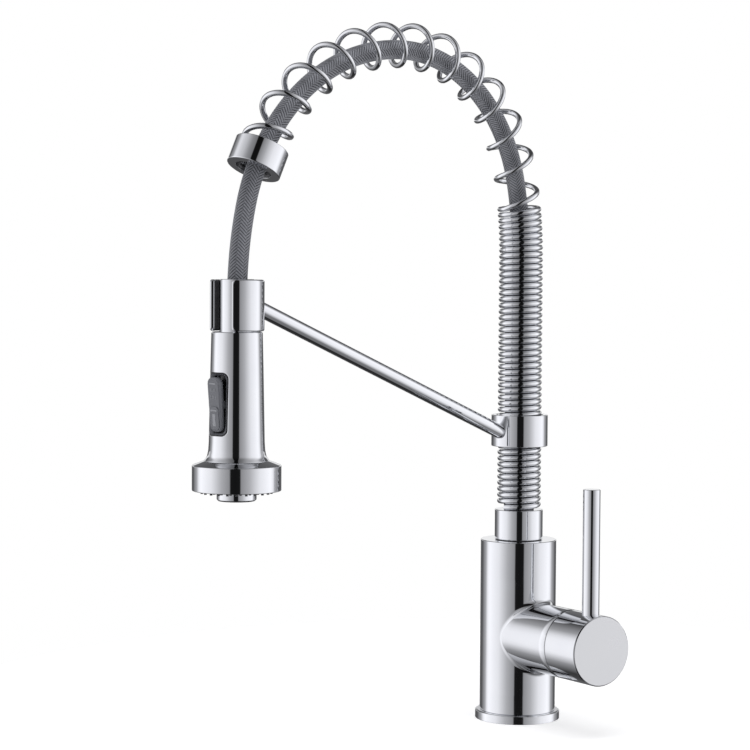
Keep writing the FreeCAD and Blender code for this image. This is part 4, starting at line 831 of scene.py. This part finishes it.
def sleeve_piece(name, outer, inner, low, high, opening, corner, ease, finish):
    """A sleeve open towards the front, with rounded corners and softened edges."""
    flat = outer * (math.pi - math.radians(opening) / 2)
    tall, middle = (high - low) / 2, (high + low) / 2
    around, upward, bend = 110, 26, 12

    def sheet(inset, radius):
        """Rows of points on the curved sleeve, its outline drawn in by the inset."""
        reach = corner - inset
        edge = []
        for step in range(bend + 1):
            angle = math.pi / 2 * step / bend
            edge.append((flat - corner + reach * math.cos(angle), tall - corner + reach * math.sin(angle)))
        half = flat - corner
        columns = [(-x, extent) for x, extent in edge]
        columns += [(-half + 2 * half * step / around, tall - inset) for step in range(1, around)]
        columns += reversed(edge)
        return [[AT_HEAD @ Vector((radius * math.cos(math.pi / 2 + x / outer),
                                   radius * math.sin(math.pi / 2 + x / outer),
                                   middle + extent * (2 * row / upward - 1))) for x, extent in columns]
                for row in range(upward + 1)]

    def border(rows):
        """The rim of a sheet as one closed loop."""
        return (rows[0] + [row[-1] for row in rows[1:]] + rows[-1][-2::-1]
                + [row[0] for row in rows[-2:0:-1]])

    ease_steps = 6
    drawn = [(ease * (1 - math.sin(math.pi / 2 * step / ease_steps)),
              ease * (1 - math.cos(math.pi / 2 * step / ease_steps))) for step in range(ease_steps + 1)]
    layers = [border(sheet(less, inner + more)) for less, more in drawn]
    layers += [border(sheet(more, outer - less)) for less, more in drawn]
    points, faces = [], []
    net(points, faces, layers, wrap=True)
    for radius in (inner, outer):
        net(points, faces, sheet(ease, radius), wrap=False)
    return mesh_piece(name, points, faces, finish)


clip = sleeve_piece("head_clip", 16.3, 13.2, HOLDER_LOW, HOLDER_HIGH, 80, 2.4, 1.1, CHROME)
settle(clip, "spout", "holder_clip")
liner = sleeve_piece("clip_lining", 13.15, 10.75, HOLDER_LOW + 0.5, HOLDER_HIGH - 0.5, 80, 1.2, 0.3,
                     BLACK_PLASTIC)
settle(liner, "spout", "clip_liner")

# --------------------------------------------------------------------------
# Head neck
# A chromed tube screwed into the spray head. It sits in the clip and holds
# the hose's swivel nut, which a snap ring keeps in.
# --------------------------------------------------------------------------
HEAD_TOP = NECK_TOP - 32.2
neck = turned("neck_tube", [
    (9.2, NECK_TOP - 44.2, 0.1), (10.4, NECK_TOP - 44.2, 0.2), (10.4, NECK_TOP - 1.0, 0.5),
    (9.2, NECK_TOP - 1.0, 0.3),
], CHROME, AT_HEAD, steps=128)
settle(neck, "spray_head", "head_neck")
dress(BLACK_PLASTIC, "head_core", "spray_chamber")

# --------------------------------------------------------------------------
# Head body
# A drawn and chromed shell, slim at the top and flared into the bell ring,
# with a round-cornered window in front for the rocker switch.
# --------------------------------------------------------------------------
WINDOW_LOW, WINDOW_HIGH = NECK_TOP - 93.8, NECK_TOP - 56.4
WINDOW_HALF, WINDOW_ROUND, WINDOW_EASE = 8.8, 3.6, 0.5
SHELL_WALL = 1.6
SHOULDER, TAPER_RUN = NECK_TOP - 52.2, 45.8
SHOULDER_RADIUS = 15.8
WINDOW_MIDDLE = (WINDOW_LOW + WINDOW_HIGH) / 2
HEAD_PROFILE = [
    (10.45, HEAD_TOP, 0.2), (15.3, HEAD_TOP, 0.9), (SHOULDER_RADIUS, SHOULDER, 60),
    (16.7, NECK_TOP - 98, 20),
    (17.0, NECK_TOP - 103, 10), (17.8, NECK_TOP - 106.8, 5), (19.7, NECK_TOP - 109.4, 0.2),
    (17.6, NECK_TOP - 109.4, 0.2), (15.4, NECK_TOP - 103, 10), (15.1, NECK_TOP - 98, 20),
    (14.2, SHOULDER, 60), (13.7, HEAD_TOP - SHELL_WALL, 0.4), (10.45, HEAD_TOP - SHELL_WALL, 0.2),
]


def head_radius(height):
    """Outer radius of the head body between its top and the flare."""
    if height > SHOULDER:
        return SHOULDER_RADIUS - 0.5 * (height - SHOULDER) / 20
    return SHOULDER_RADIUS + 0.9 * ((SHOULDER - height) / TAPER_RUN)


def window_point(turn, half_width, half_height, corner):
    """Where a ray at this turn from the window's middle meets its round-cornered outline."""
    across, up = math.cos(turn), math.sin(turn)
    scale = min(half_width / max(abs(across), 1e-9), half_height / max(abs(up), 1e-9))
    x, y = abs(across) * scale, abs(up) * scale
    cx, cy = half_width - corner, half_height - corner
    if x > cx and y > cy:
        # the far crossing of the ray with the corner's circle
        dot = abs(across) * cx + abs(up) * cy
        far = dot + math.sqrt(max(dot * dot - (cx * cx + cy * cy - corner * corner), 0))
        x, y = abs(across) * far, abs(up) * far
    return math.copysign(x, across), math.copysign(y, up)


def head_shell():
    """Points and faces of the head body with its window."""
    points, faces = [], []
    low, high = WINDOW_LOW - 3.0, WINDOW_HIGH + 3.0
    half_angle = math.radians(52)
    columns, rows = 60, 72
    rest_columns = 132
    front = -math.pi / 2

    def on_shell(angle, height, depth=0.0):
        radius = head_radius(height) - depth
        return AT_HEAD @ Vector((radius * math.cos(front + angle), radius * math.sin(front + angle), height))

    def back_sheet(depth):
        """The rest of the shell, all the way round behind the window's stretch."""
        return [[on_shell(half_angle + (2 * math.pi - 2 * half_angle) * step / rest_columns,
                          low + (high - low) * line / rows, depth) for step in range(rest_columns + 1)]
                for line in range(rows + 1)]

    net(points, faces, back_sheet(0), wrap=False)
    border = border_walk(half_angle, low, high, columns, rows)
    turns = [math.atan2(height - WINDOW_MIDDLE, head_radius(height) * math.sin(angle))
             for angle, height in border]
    half_height = (WINDOW_HIGH - WINDOW_LOW) / 2

    def edge_ring(grow, depth):
        """The window's outline, grown a little, laid on the shell."""
        ring = []
        for turn in turns:
            x, up = window_point(turn, WINDOW_HALF + grow, half_height + grow, WINDOW_ROUND + grow)
            height = WINDOW_MIDDLE + up
            ring.append(on_shell(math.asin(x / head_radius(height)), height, depth))
        return ring

    def towards_window(share, grow, depth):
        """The front stretch's border, drawn in to the window's outline by a share."""
        layer = []
        for (angle, height), turn in zip(border, turns):
            x, up = window_point(turn, WINDOW_HALF + grow, half_height + grow, WINDOW_ROUND + grow)
            edge_height = WINDOW_MIDDLE + up
            edge_angle = math.asin(x / head_radius(edge_height))
            layer.append(on_shell(angle + (edge_angle - angle) * share,
                                  height + (edge_height - height) * share, depth))
        return layer

    steps = 14
    layers = [towards_window(step / steps, WINDOW_EASE, 0) for step in range(steps + 1)]
    for step in range(1, 6):
        angle = math.pi / 2 * step / 5
        layers.append(edge_ring(WINDOW_EASE * (1 - math.sin(angle)), WINDOW_EASE * (1 - math.cos(angle))))
    layers.append(edge_ring(0, SHELL_WALL))
    net(points, faces, layers, wrap=True)
    # the inside of the shell
    inner = [towards_window(1 - step / steps, 0, SHELL_WALL) for step in range(steps + 1)]
    net(points, faces, inner, wrap=True)
    net(points, faces, back_sheet(SHELL_WALL), wrap=False)
    circle = [-half_angle + 2 * half_angle * step / columns for step in range(columns)]
    circle += [half_angle + (2 * math.pi - 2 * half_angle) * step / rest_columns
               for step in range(rest_columns)]
    lower = [(head_radius(low), low, 0)] + HEAD_PROFILE[3:10] + [(head_radius(low) - SHELL_WALL, low, 0)]
    upper = ([(head_radius(high) - SHELL_WALL, high, 0)] + HEAD_PROFILE[11:] + HEAD_PROFILE[:2]
             + [(head_radius(high), high, 0)])
    for profile in (lower, upper):
        layers = [[AT_HEAD @ Vector((radius * math.cos(front + a), radius * math.sin(front + a), height))
                   for a in circle] for radius, height in eased(profile, close=False)]
        net(points, faces, layers, wrap=True)
    return points, faces


shell_points, shell_faces = head_shell()
head = mesh_piece("head_shell", shell_points, shell_faces, CHROME)
settle(head, "spray_head", "head_body")

# --------------------------------------------------------------------------
# Bell ring
# The chromed skirt round the spray face, screwed to the head's core. Its top
# slopes up to the flare of the head body.
# --------------------------------------------------------------------------
BELL_LOW = NECK_TOP - 127.2
bell = turned("bell_skirt", [
    (24.55, BELL_LOW, 0.3), (26.75, BELL_LOW, 0.5), (26.75, BELL_LOW + 15.2, 0.8),
    (19.8, BELL_LOW + 17.8, 0.2), (17.7, BELL_LOW + 17.8, 0.2), (17.7, BELL_LOW + 15.6, 0.2),
    (24.55, BELL_LOW + 13.2, 0.3),
], CHROME, AT_HEAD)
settle(bell, "spray_head", "bell_ring")

# --------------------------------------------------------------------------
# Spray face and its nubs
# A black moulded ring with shallow lands, and the soft rubber nubs that come
# through it in two rings and can be rubbed clean.
# --------------------------------------------------------------------------
FACE_LOW = BELL_LOW + 1.0
face_plate = turned("face_plate", [
    (12.0, FACE_LOW, 0.3), (14.2, FACE_LOW, 0.3), (14.6, FACE_LOW + 0.5, 0.3), (18.9, FACE_LOW + 0.5, 0.3),
    (19.2, FACE_LOW + 0.1, 0.3), (23.6, FACE_LOW + 0.1, 0.3), (24.5, FACE_LOW + 0.5, 0.3),
    (24.5, FACE_LOW + 3, 0.1), (12.0, FACE_LOW + 3, 0.1),
], BLACK_PLASTIC, AT_HEAD)
settle(face_plate, "spray_head", "spray_face")


def nub_tree(finish):
    """Geometry Nodes: a soft nub set at each point of the source."""
    tree = bpy.data.node_groups.new("nub_rings", "GeometryNodeTree")
    face = tree.interface
    face.new_socket("Places", in_out="INPUT", socket_type="NodeSocketGeometry")
    for title, value in (("Foot Radius", 1.2 * MM), ("Tip Radius", 0.8 * MM), ("Length", 5.2 * MM)):
        face.new_socket(title, in_out="INPUT", socket_type="NodeSocketFloat").default_value = value
    face.new_socket("Nubs", in_out="OUTPUT", socket_type="NodeSocketGeometry")
    add, wire = tree.nodes.new, tree.links.new
    inside, outside = add("NodeGroupInput"), add("NodeGroupOutput")
    nub = add("GeometryNodeMeshCone")
    nub.inputs["Vertices"].default_value = 20
    nub.inputs["Side Segments"].default_value = 3
    wire(inside.outputs["Tip Radius"], nub.inputs["Radius Top"])
    wire(inside.outputs["Foot Radius"], nub.inputs["Radius Bottom"])
    wire(inside.outputs["Length"], nub.inputs["Depth"])
    turn = add("GeometryNodeTransform")
    turn.inputs["Rotation"].default_value = (math.pi, 0, 0)
    wire(nub.outputs["Mesh"], turn.inputs["Geometry"])
    spread = add("GeometryNodeInstanceOnPoints")
    wire(inside.outputs["Places"], spread.inputs["Points"])
    wire(turn.outputs["Geometry"], spread.inputs["Instance"])
    real = add("GeometryNodeRealizeInstances")
    wire(spread.outputs["Instances"], real.inputs["Geometry"])
    coat = add("GeometryNodeSetMaterial")
    coat.inputs["Material"].default_value = finish
    wire(real.outputs["Geometry"], coat.inputs["Geometry"])
    wire(coat.outputs["Geometry"], outside.inputs["Nubs"])
    return tree


nub_places = []
for count, ring_radius in ((24, 21.4), (18, 16.8)):
    for index in range(count):
        angle = 2 * math.pi * (index + 0.5) / count
        nub_places.append((AT_HEAD @ Vector((ring_radius * math.cos(angle), ring_radius * math.sin(angle),
                                             FACE_LOW + 2.7))) * MM)
place_mesh = bpy.data.meshes.new("nub_places")
place_mesh.from_pydata(nub_places, [], [])
place_object = placed("nub_places", place_mesh)
SOFT_RUBBER = surface("soft_nub_rubber", (0.09, 0.09, 0.095), (0.05, 0.05, 0.053), 0, 0.45, 0.65, 0.4,
                      260, 3000)
nubs = grown("spray_nubs", place_object, nub_tree(SOFT_RUBBER), SOFT_RUBBER)
nubs.data.shade_flat()
settle(nubs, "spray_head", "spray_nozzles")

# --------------------------------------------------------------------------
# Aerator
# A chromed shell in the middle of the face with a white moulded grid that
# breaks the stream up with air.
# --------------------------------------------------------------------------
AERATOR_LOW = NECK_TOP - 133.4
shell = turned("aerator_ring", [
    (9.75, AERATOR_LOW, 0.2), (11.0, AERATOR_LOW, 0.5), (11.95, AERATOR_LOW + 0.9, 0.6),
    (11.95, AERATOR_LOW + 14.8, 0.1), (10.65, AERATOR_LOW + 14.8, 0.1), (10.65, AERATOR_LOW + 1.3, 0.1),
    (9.75, AERATOR_LOW + 1.3, 0.1),
], CHROME, AT_HEAD, steps=128)
settle(shell, "spray_head", "aerator_shell")
dress(WHITE_MOULDING, "aerator_insert")

# --------------------------------------------------------------------------
# Rocker surround
# A black moulded frame snapped into the window, whose ears carry the pin
# that the rocker turns on.
# --------------------------------------------------------------------------
SURROUND_HALF = WINDOW_HALF - 0.05
SURROUND_HEIGHT = (WINDOW_HIGH - WINDOW_LOW) / 2 - 0.05
surround_turns = [2 * math.pi * step / 160 for step in range(160)]


def surround_ring(side_inset, end_inset, out):
    """The surround's outline, drawn in at its sides and ends, at this depth under the shell."""
    ring = []
    for turn in surround_turns:
        x, up = window_point(turn, SURROUND_HALF - side_inset, SURROUND_HEIGHT - end_inset,
                             max(WINDOW_ROUND - end_inset * 0.6, 0.6))
        height = WINDOW_MIDDLE + up
        radius = head_radius(height) + out
        ring.append(AT_HEAD @ Vector((x, -math.sqrt(radius ** 2 - x ** 2), height)))
    return ring


surround = skin("rocker_surround", [
    surround_ring(0, 0, -2.7), surround_ring(0, 0, -0.25), surround_ring(0.12, 0.12, -0.1),
    surround_ring(0.3, 0.3, -0.02), surround_ring(0.5, 0.45, -0.04), surround_ring(0.75, 0.6, -0.3),
    surround_ring(2.95, 1.7, -2.2), surround_ring(2.95, 1.7, -2.7),
], BLACK_PLASTIC, loop=True)
GREY_PLASTIC = surface("grey_rocker_plastic", (0.240, 0.247, 0.272), (0.185, 0.191, 0.213), 0, 0.34, 0.5, 0.6,
                       180, 2600)
surround.data.materials.append(GREY_PLASTIC)
for face in surround.data.polygons:
    ring_index = face.index // len(surround_turns)
    face.material_index = int(ring_index == 5)
settle(surround, "spray_head", "rocker_frame")

# --------------------------------------------------------------------------
# Rocker switch
# A grey moulded rocker on a steel pin, thick at the top, with a raised pad at
# the foot and small raised marks for spray and stream.
# --------------------------------------------------------------------------
PALE_PLASTIC = surface("pale_rocker_marks", (0.46, 0.47, 0.50), (0.38, 0.39, 0.42), 0, 0.3, 0.45, 0.6,
                       180, 2600)
ROCKER_HALF = 5.6
ROCKER_TOP = WINDOW_HIGH - 1.7 - 1.0
ROCKER_FOOT = WINDOW_LOW + 1.7 + 0.5
ROCKER_MIDDLE = (ROCKER_TOP + ROCKER_FOOT) / 2
ROCKER_TALL = (ROCKER_TOP - ROCKER_FOOT) / 2
rocker_turns = [2 * math.pi * step / 128 for step in range(128)]


def rocker_face(height):
    """Distance of the rocker's face in front of the head's axis, leaning in towards the foot."""
    share = (height - ROCKER_FOOT) / (ROCKER_TOP - ROCKER_FOOT)
    return 15.75 + 2.85 * share


def rocker_ring(x_half, low, high, corner, out):
    """An outline on the rocker's leaning face; out is measured from the face."""
    middle, tall = (low + high) / 2, (high - low) / 2
    ring = []
    for turn in rocker_turns:
        x, up = window_point(turn, x_half, tall, corner)
        height = middle + up
        ring.append(AT_HEAD @ Vector((x, -(rocker_face(height) + out), height)))
    return ring


def plate_on_face(name, x_middle, x_half, low, high, corner, rise, finish):
    """A low raised plate on the rocker's face with softened edges."""
    def moved(ring):
        return [point + Vector((x_middle, 0, 0)) for point in ring]
    soft = min(0.25, x_half * 0.45, (high - low) * 0.22)
    layers = [moved(rocker_ring(x_half, low, high, corner, -0.2)),
              moved(rocker_ring(x_half, low, high, corner, rise - soft))]
    for step in range(1, 4):
        angle = math.pi / 2 * step / 3
        inset = soft * (1 - math.cos(angle))
        layers.append(moved(rocker_ring(x_half - inset, low + inset, high - inset,
                                        max(corner - inset, 0.05), rise - soft + soft * math.sin(angle))))
    centre_height = (low + high) / 2
    centre = AT_HEAD @ Vector((x_middle, -(rocker_face(centre_height) + rise), centre_height))
    foot = AT_HEAD @ Vector((x_middle, -(rocker_face(centre_height) - 0.2), centre_height))
    return skin(name, [[foot]] + layers + [[centre]], finish)


rocker_layers = [[AT_HEAD @ Vector((0, -13.2, ROCKER_MIDDLE))]]
back_ring = []
for turn in rocker_turns:
    x, up = window_point(turn, ROCKER_HALF, ROCKER_TALL, 4.2)
    share = (up + ROCKER_TALL) / (2 * ROCKER_TALL)
    back_ring.append(AT_HEAD @ Vector((x, -(13.3 + 1.8 * share), ROCKER_MIDDLE + up)))
rocker_layers.append(back_ring)
rocker_layers.append(rocker_ring(ROCKER_HALF, ROCKER_FOOT, ROCKER_TOP, 4.2, -1.25))
for step in range(1, 7):
    angle = math.pi / 2 * step / 6
    inset = 1.1 * (1 - math.cos(angle))
    rocker_layers.append(rocker_ring(ROCKER_HALF - inset, ROCKER_FOOT + inset, ROCKER_TOP - inset,
                                     4.2 - inset, -1.1 + 1.1 * math.sin(angle)))
for inset in (1.6, 2.6, 4.4):
    rocker_layers.append(rocker_ring(ROCKER_HALF - inset, ROCKER_FOOT + inset, ROCKER_TOP - inset,
                                     max(4.2 - inset, 0.3), 0))
rocker_layers.append([AT_HEAD @ Vector((0, -rocker_face(ROCKER_MIDDLE), ROCKER_MIDDLE))])
rocker_parts = [skin("rocker_paddle", rocker_layers, GREY_PLASTIC)]
for title, half, low, high, corner, rise, finish in (
        ("pad", 4.3, ROCKER_FOOT + 1.3, ROCKER_FOOT + 15.2, 2.8, 0.6, GREY_PLASTIC),
        ("pad_bar", 3.0, ROCKER_FOOT + 12.3, ROCKER_FOOT + 13.3, 0.3, 0.8, PALE_PLASTIC),
        ("pad_lens", 1.5, ROCKER_FOOT + 3.4, ROCKER_FOOT + 10.8, 0.5, 0.8, PALE_PLASTIC),
        ("top_bar", 3.0, ROCKER_TOP - 4.2, ROCKER_TOP - 3.3, 0.3, 0.2, PALE_PLASTIC)):
    rocker_parts.append(plate_on_face(title, 0, half, low, high, corner, rise, finish))
for row_top, count in ((ROCKER_TOP - 6.3, 4), (ROCKER_TOP - 10.6, 4)):
    for index in range(count):
        x = (index - (count - 1) / 2) * 1.4
        rocker_parts.append(plate_on_face("tick", x, 0.26, row_top - 2.6, row_top, 0.2, 0.2, PALE_PLASTIC))
for x in (-3.9, 3.9):
    lug = turned("lug", [(0, -1.4, 0), (2.3, -1.4, 0.3), (2.3, 1.4, 0.3), (0, 1.4, 0)], GREY_PLASTIC,
                 Matrix.Translation((x, -REACH - 12.9, ROCKER_MIDDLE)) @ Matrix.Rotation(math.pi / 2, 4, "Y"),
                 steps=40)
    rocker_parts.append(lug)


def merged(name, parts):
    """Join several meshes into one piece and keep each face's finish."""
    finishes, work = [], bmesh.new()
    for part in parts:
        finish = part.data.materials[0]
        if finish not in finishes:
            finishes.append(finish)
        start = len(work.faces)
        work.from_mesh(part.data)
        work.faces.ensure_lookup_table()
        for face in work.faces[start:]:
            face.material_index = finishes.index(finish)
        bpy.data.objects.remove(part)
    mesh = bpy.data.meshes.new(name)
    work.to_mesh(mesh)
    work.free()
    for finish in finishes:
        mesh.materials.append(finish)
    mesh.shade_smooth()
    return placed(name, mesh)


rocker = merged("mode_rocker", rocker_parts)
settle(rocker, "rocker_switch", "rocker")

# --------------------------------------------------------------------------
# Studio
# A pale floor disc and a bright surround whose dark slot behind the camera
# gives polished metal its dark stripe, with one soft light and the camera.
# --------------------------------------------------------------------------
floor_mesh = bpy.data.meshes.new("floor")
FLOOR_RADIUS = 0.42
FLOOR_SIDES = 96
rim_turns = [2 * math.pi * step / FLOOR_SIDES for step in range(FLOOR_SIDES)]
rim = [(FLOOR_RADIUS * math.cos(a), FLOOR_RADIUS * math.sin(a), 0) for a in rim_turns]
floor_mesh.from_pydata(rim, [], [list(range(FLOOR_SIDES))])
floor_material = bpy.data.materials.new("pale_floor")
floor_material.use_nodes = True
floor_shader = floor_material.node_tree.nodes["Principled BSDF"]
floor_shader.inputs["Base Color"].default_value = (0.93, 0.93, 0.93, 1)
floor_shader.inputs["Roughness"].default_value = 0.7
floor_shader.inputs["Specular IOR Level"].default_value = 0.2
floor_shader.inputs["Emission Color"].default_value = (1, 1, 1, 1)
floor_shader.inputs["Emission Strength"].default_value = 0.55
floor_nodes, floor_wire = floor_material.node_tree.nodes, floor_material.node_tree.links.new
floor_path = floor_nodes.new("ShaderNodeLightPath")
floor_clear = floor_nodes.new("ShaderNodeBsdfTransparent")
floor_pick = floor_nodes.new("ShaderNodeMixShader")
floor_wire(floor_path.outputs["Is Glossy Ray"], floor_pick.inputs["Fac"])
floor_wire(floor_shader.outputs["BSDF"], floor_pick.inputs[1])
floor_wire(floor_clear.outputs["BSDF"], floor_pick.inputs[2])
floor_wire(floor_pick.outputs["Shader"], floor_nodes["Material Output"].inputs["Surface"])
floor_mesh.materials.append(floor_material)
floor = placed("floor", floor_mesh)



def fill_ramp(ramp, stops, tint):
    """Set a colour ramp's stops from (place, level) pairs."""
    while len(ramp.elements) < len(stops):
        ramp.elements.new(0.5)
    for element, (place, level) in zip(ramp.elements, stops):
        element.position = place
        element.color = (*[level * share for share in tint], 1)


VIEW_TURN = math.radians(48.55)
VIEW_TILT = math.radians(-2.69)
VIEW_ROLL = math.radians(0.33)
CAMERA_PLACE = (1.0472, -1.0540, 0.2991)
world = bpy.data.worlds.new("studio")
bpy.context.scene.world = world
world.use_nodes = True
nodes, wire = world.node_tree.nodes, world.node_tree.links.new
where = nodes.new("ShaderNodeTexCoord")
slot_axis = nodes.new("ShaderNodeVectorRotate")
slot_axis.rotation_type = "Z_AXIS"
slot_axis.inputs["Angle"].default_value = math.pi / 2 - VIEW_TURN
wire(where.outputs["Generated"], slot_axis.inputs["Vector"])
split = nodes.new("ShaderNodeSeparateXYZ")
wire(slot_axis.outputs["Vector"], split.inputs[0])
turn = nodes.new("ShaderNodeMath")
turn.operation = "ARCTAN2"
wire(split.outputs["Y"], turn.inputs[0])
wire(split.outputs["X"], turn.inputs[1])
share = nodes.new("ShaderNodeMath")
share.operation = "DIVIDE"
share.inputs[1].default_value = math.pi
wire(turn.outputs[0], share.inputs[0])
even = nodes.new("ShaderNodeMath")
even.operation = "ABSOLUTE"
wire(share.outputs[0], even.inputs[0])
ring = nodes.new("ShaderNodeValToRGB")
stops = ((0.0, 0.008), (0.066, 0.010), (0.084, 0.30), (0.20, 0.48), (0.36, 0.92), (0.56, 1.15),
         (0.61, 1.0), (0.67, 0.45), (0.80, 0.10), (0.90, 0.12), (1.0, 0.16))
fill_ramp(ring.color_ramp, stops, (0.995, 0.995, 1.015))
wire(even.outputs[0], ring.inputs["Fac"])
rise = nodes.new("ShaderNodeMapRange")
rise.inputs["From Min"].default_value = -1
wire(split.outputs["Z"], rise.inputs["Value"])
band = nodes.new("ShaderNodeValToRGB")
heights = ((0.0, 0.16), (0.12, 0.22), (0.24, 0.70), (0.36, 1.0), (0.68, 1.0), (0.80, 0.72), (0.92, 0.42),
           (1.0, 0.36))
fill_ramp(band.color_ramp, heights, (1, 1, 1.01))
wire(rise.outputs["Result"], band.inputs["Fac"])
lit = nodes.new("ShaderNodeMix")
lit.data_type = "RGBA"
lit.blend_type = "MULTIPLY"
lit.inputs["Factor"].default_value = 1
wire(ring.outputs["Color"], lit.inputs["A"])
wire(band.outputs["Color"], lit.inputs["B"])
card_band = nodes.new("ShaderNodeValToRGB")
card_heights = ((0.0, 0), (0.512, 0), (0.525, 0.75), (0.58, 0.75), (0.62, 0))
fill_ramp(card_band.color_ramp, card_heights, (1, 1, 1))
wire(rise.outputs["Result"], card_band.inputs["Fac"])
card_side = nodes.new("ShaderNodeMapRange")
card_side.inputs["From Min"].default_value = 0.68
card_side.inputs["From Max"].default_value = 0.80
wire(even.outputs[0], card_side.inputs["Value"])
card = nodes.new("ShaderNodeMix")
card.data_type = "RGBA"
card.blend_type = "ADD"
wire(card_side.outputs["Result"], card.inputs["Factor"])
wire(lit.outputs["Result"], card.inputs["A"])
wire(card_band.outputs["Color"], card.inputs["B"])
glow = nodes["Background"]
glow.inputs["Strength"].default_value = 1.0
wire(card.outputs["Result"], glow.inputs["Color"])
backdrop = nodes.new("ShaderNodeBackground")
backdrop.inputs["Color"].default_value = (1, 1, 1, 1)
seen = nodes.new("ShaderNodeLightPath")
either = nodes.new("ShaderNodeMixShader")
wire(seen.outputs["Is Camera Ray"], either.inputs["Fac"])
wire(glow.outputs["Background"], either.inputs[1])
wire(backdrop.outputs["Background"], either.inputs[2])
wire(either.outputs["Shader"], nodes["World Output"].inputs["Surface"])

top_light = bpy.data.lights.new("overhead", "AREA")
top_light.shape = "DISK"
top_light.size = 1.6
top_light.energy = 14
overhead = placed("overhead", top_light)
overhead.location = (0.2, -0.3, 1.9)
overhead.visible_glossy = False

lens = bpy.data.cameras.new("camera")
lens.lens = 106.7
lens.sensor_width = 36
camera = placed("camera", lens)
forward = Vector((-math.sin(VIEW_TURN) * math.cos(VIEW_TILT), math.cos(VIEW_TURN) * math.cos(VIEW_TILT),
                  math.sin(VIEW_TILT)))
level = Vector((math.cos(VIEW_TURN), math.sin(VIEW_TURN), 0))
upward = level.cross(forward)
right = level * math.cos(VIEW_ROLL) + upward * math.sin(VIEW_ROLL)
top = right.cross(forward)
camera.matrix_world = Matrix((
    (right.x, top.x, -forward.x, CAMERA_PLACE[0]),
    (right.y, top.y, -forward.y, CAMERA_PLACE[1]),
    (right.z, top.z, -forward.z, CAMERA_PLACE[2]),
    (0, 0, 0, 1),
))
bpy.context.scene.camera = camera
bpy.context.scene.view_settings.view_transform = "Standard"
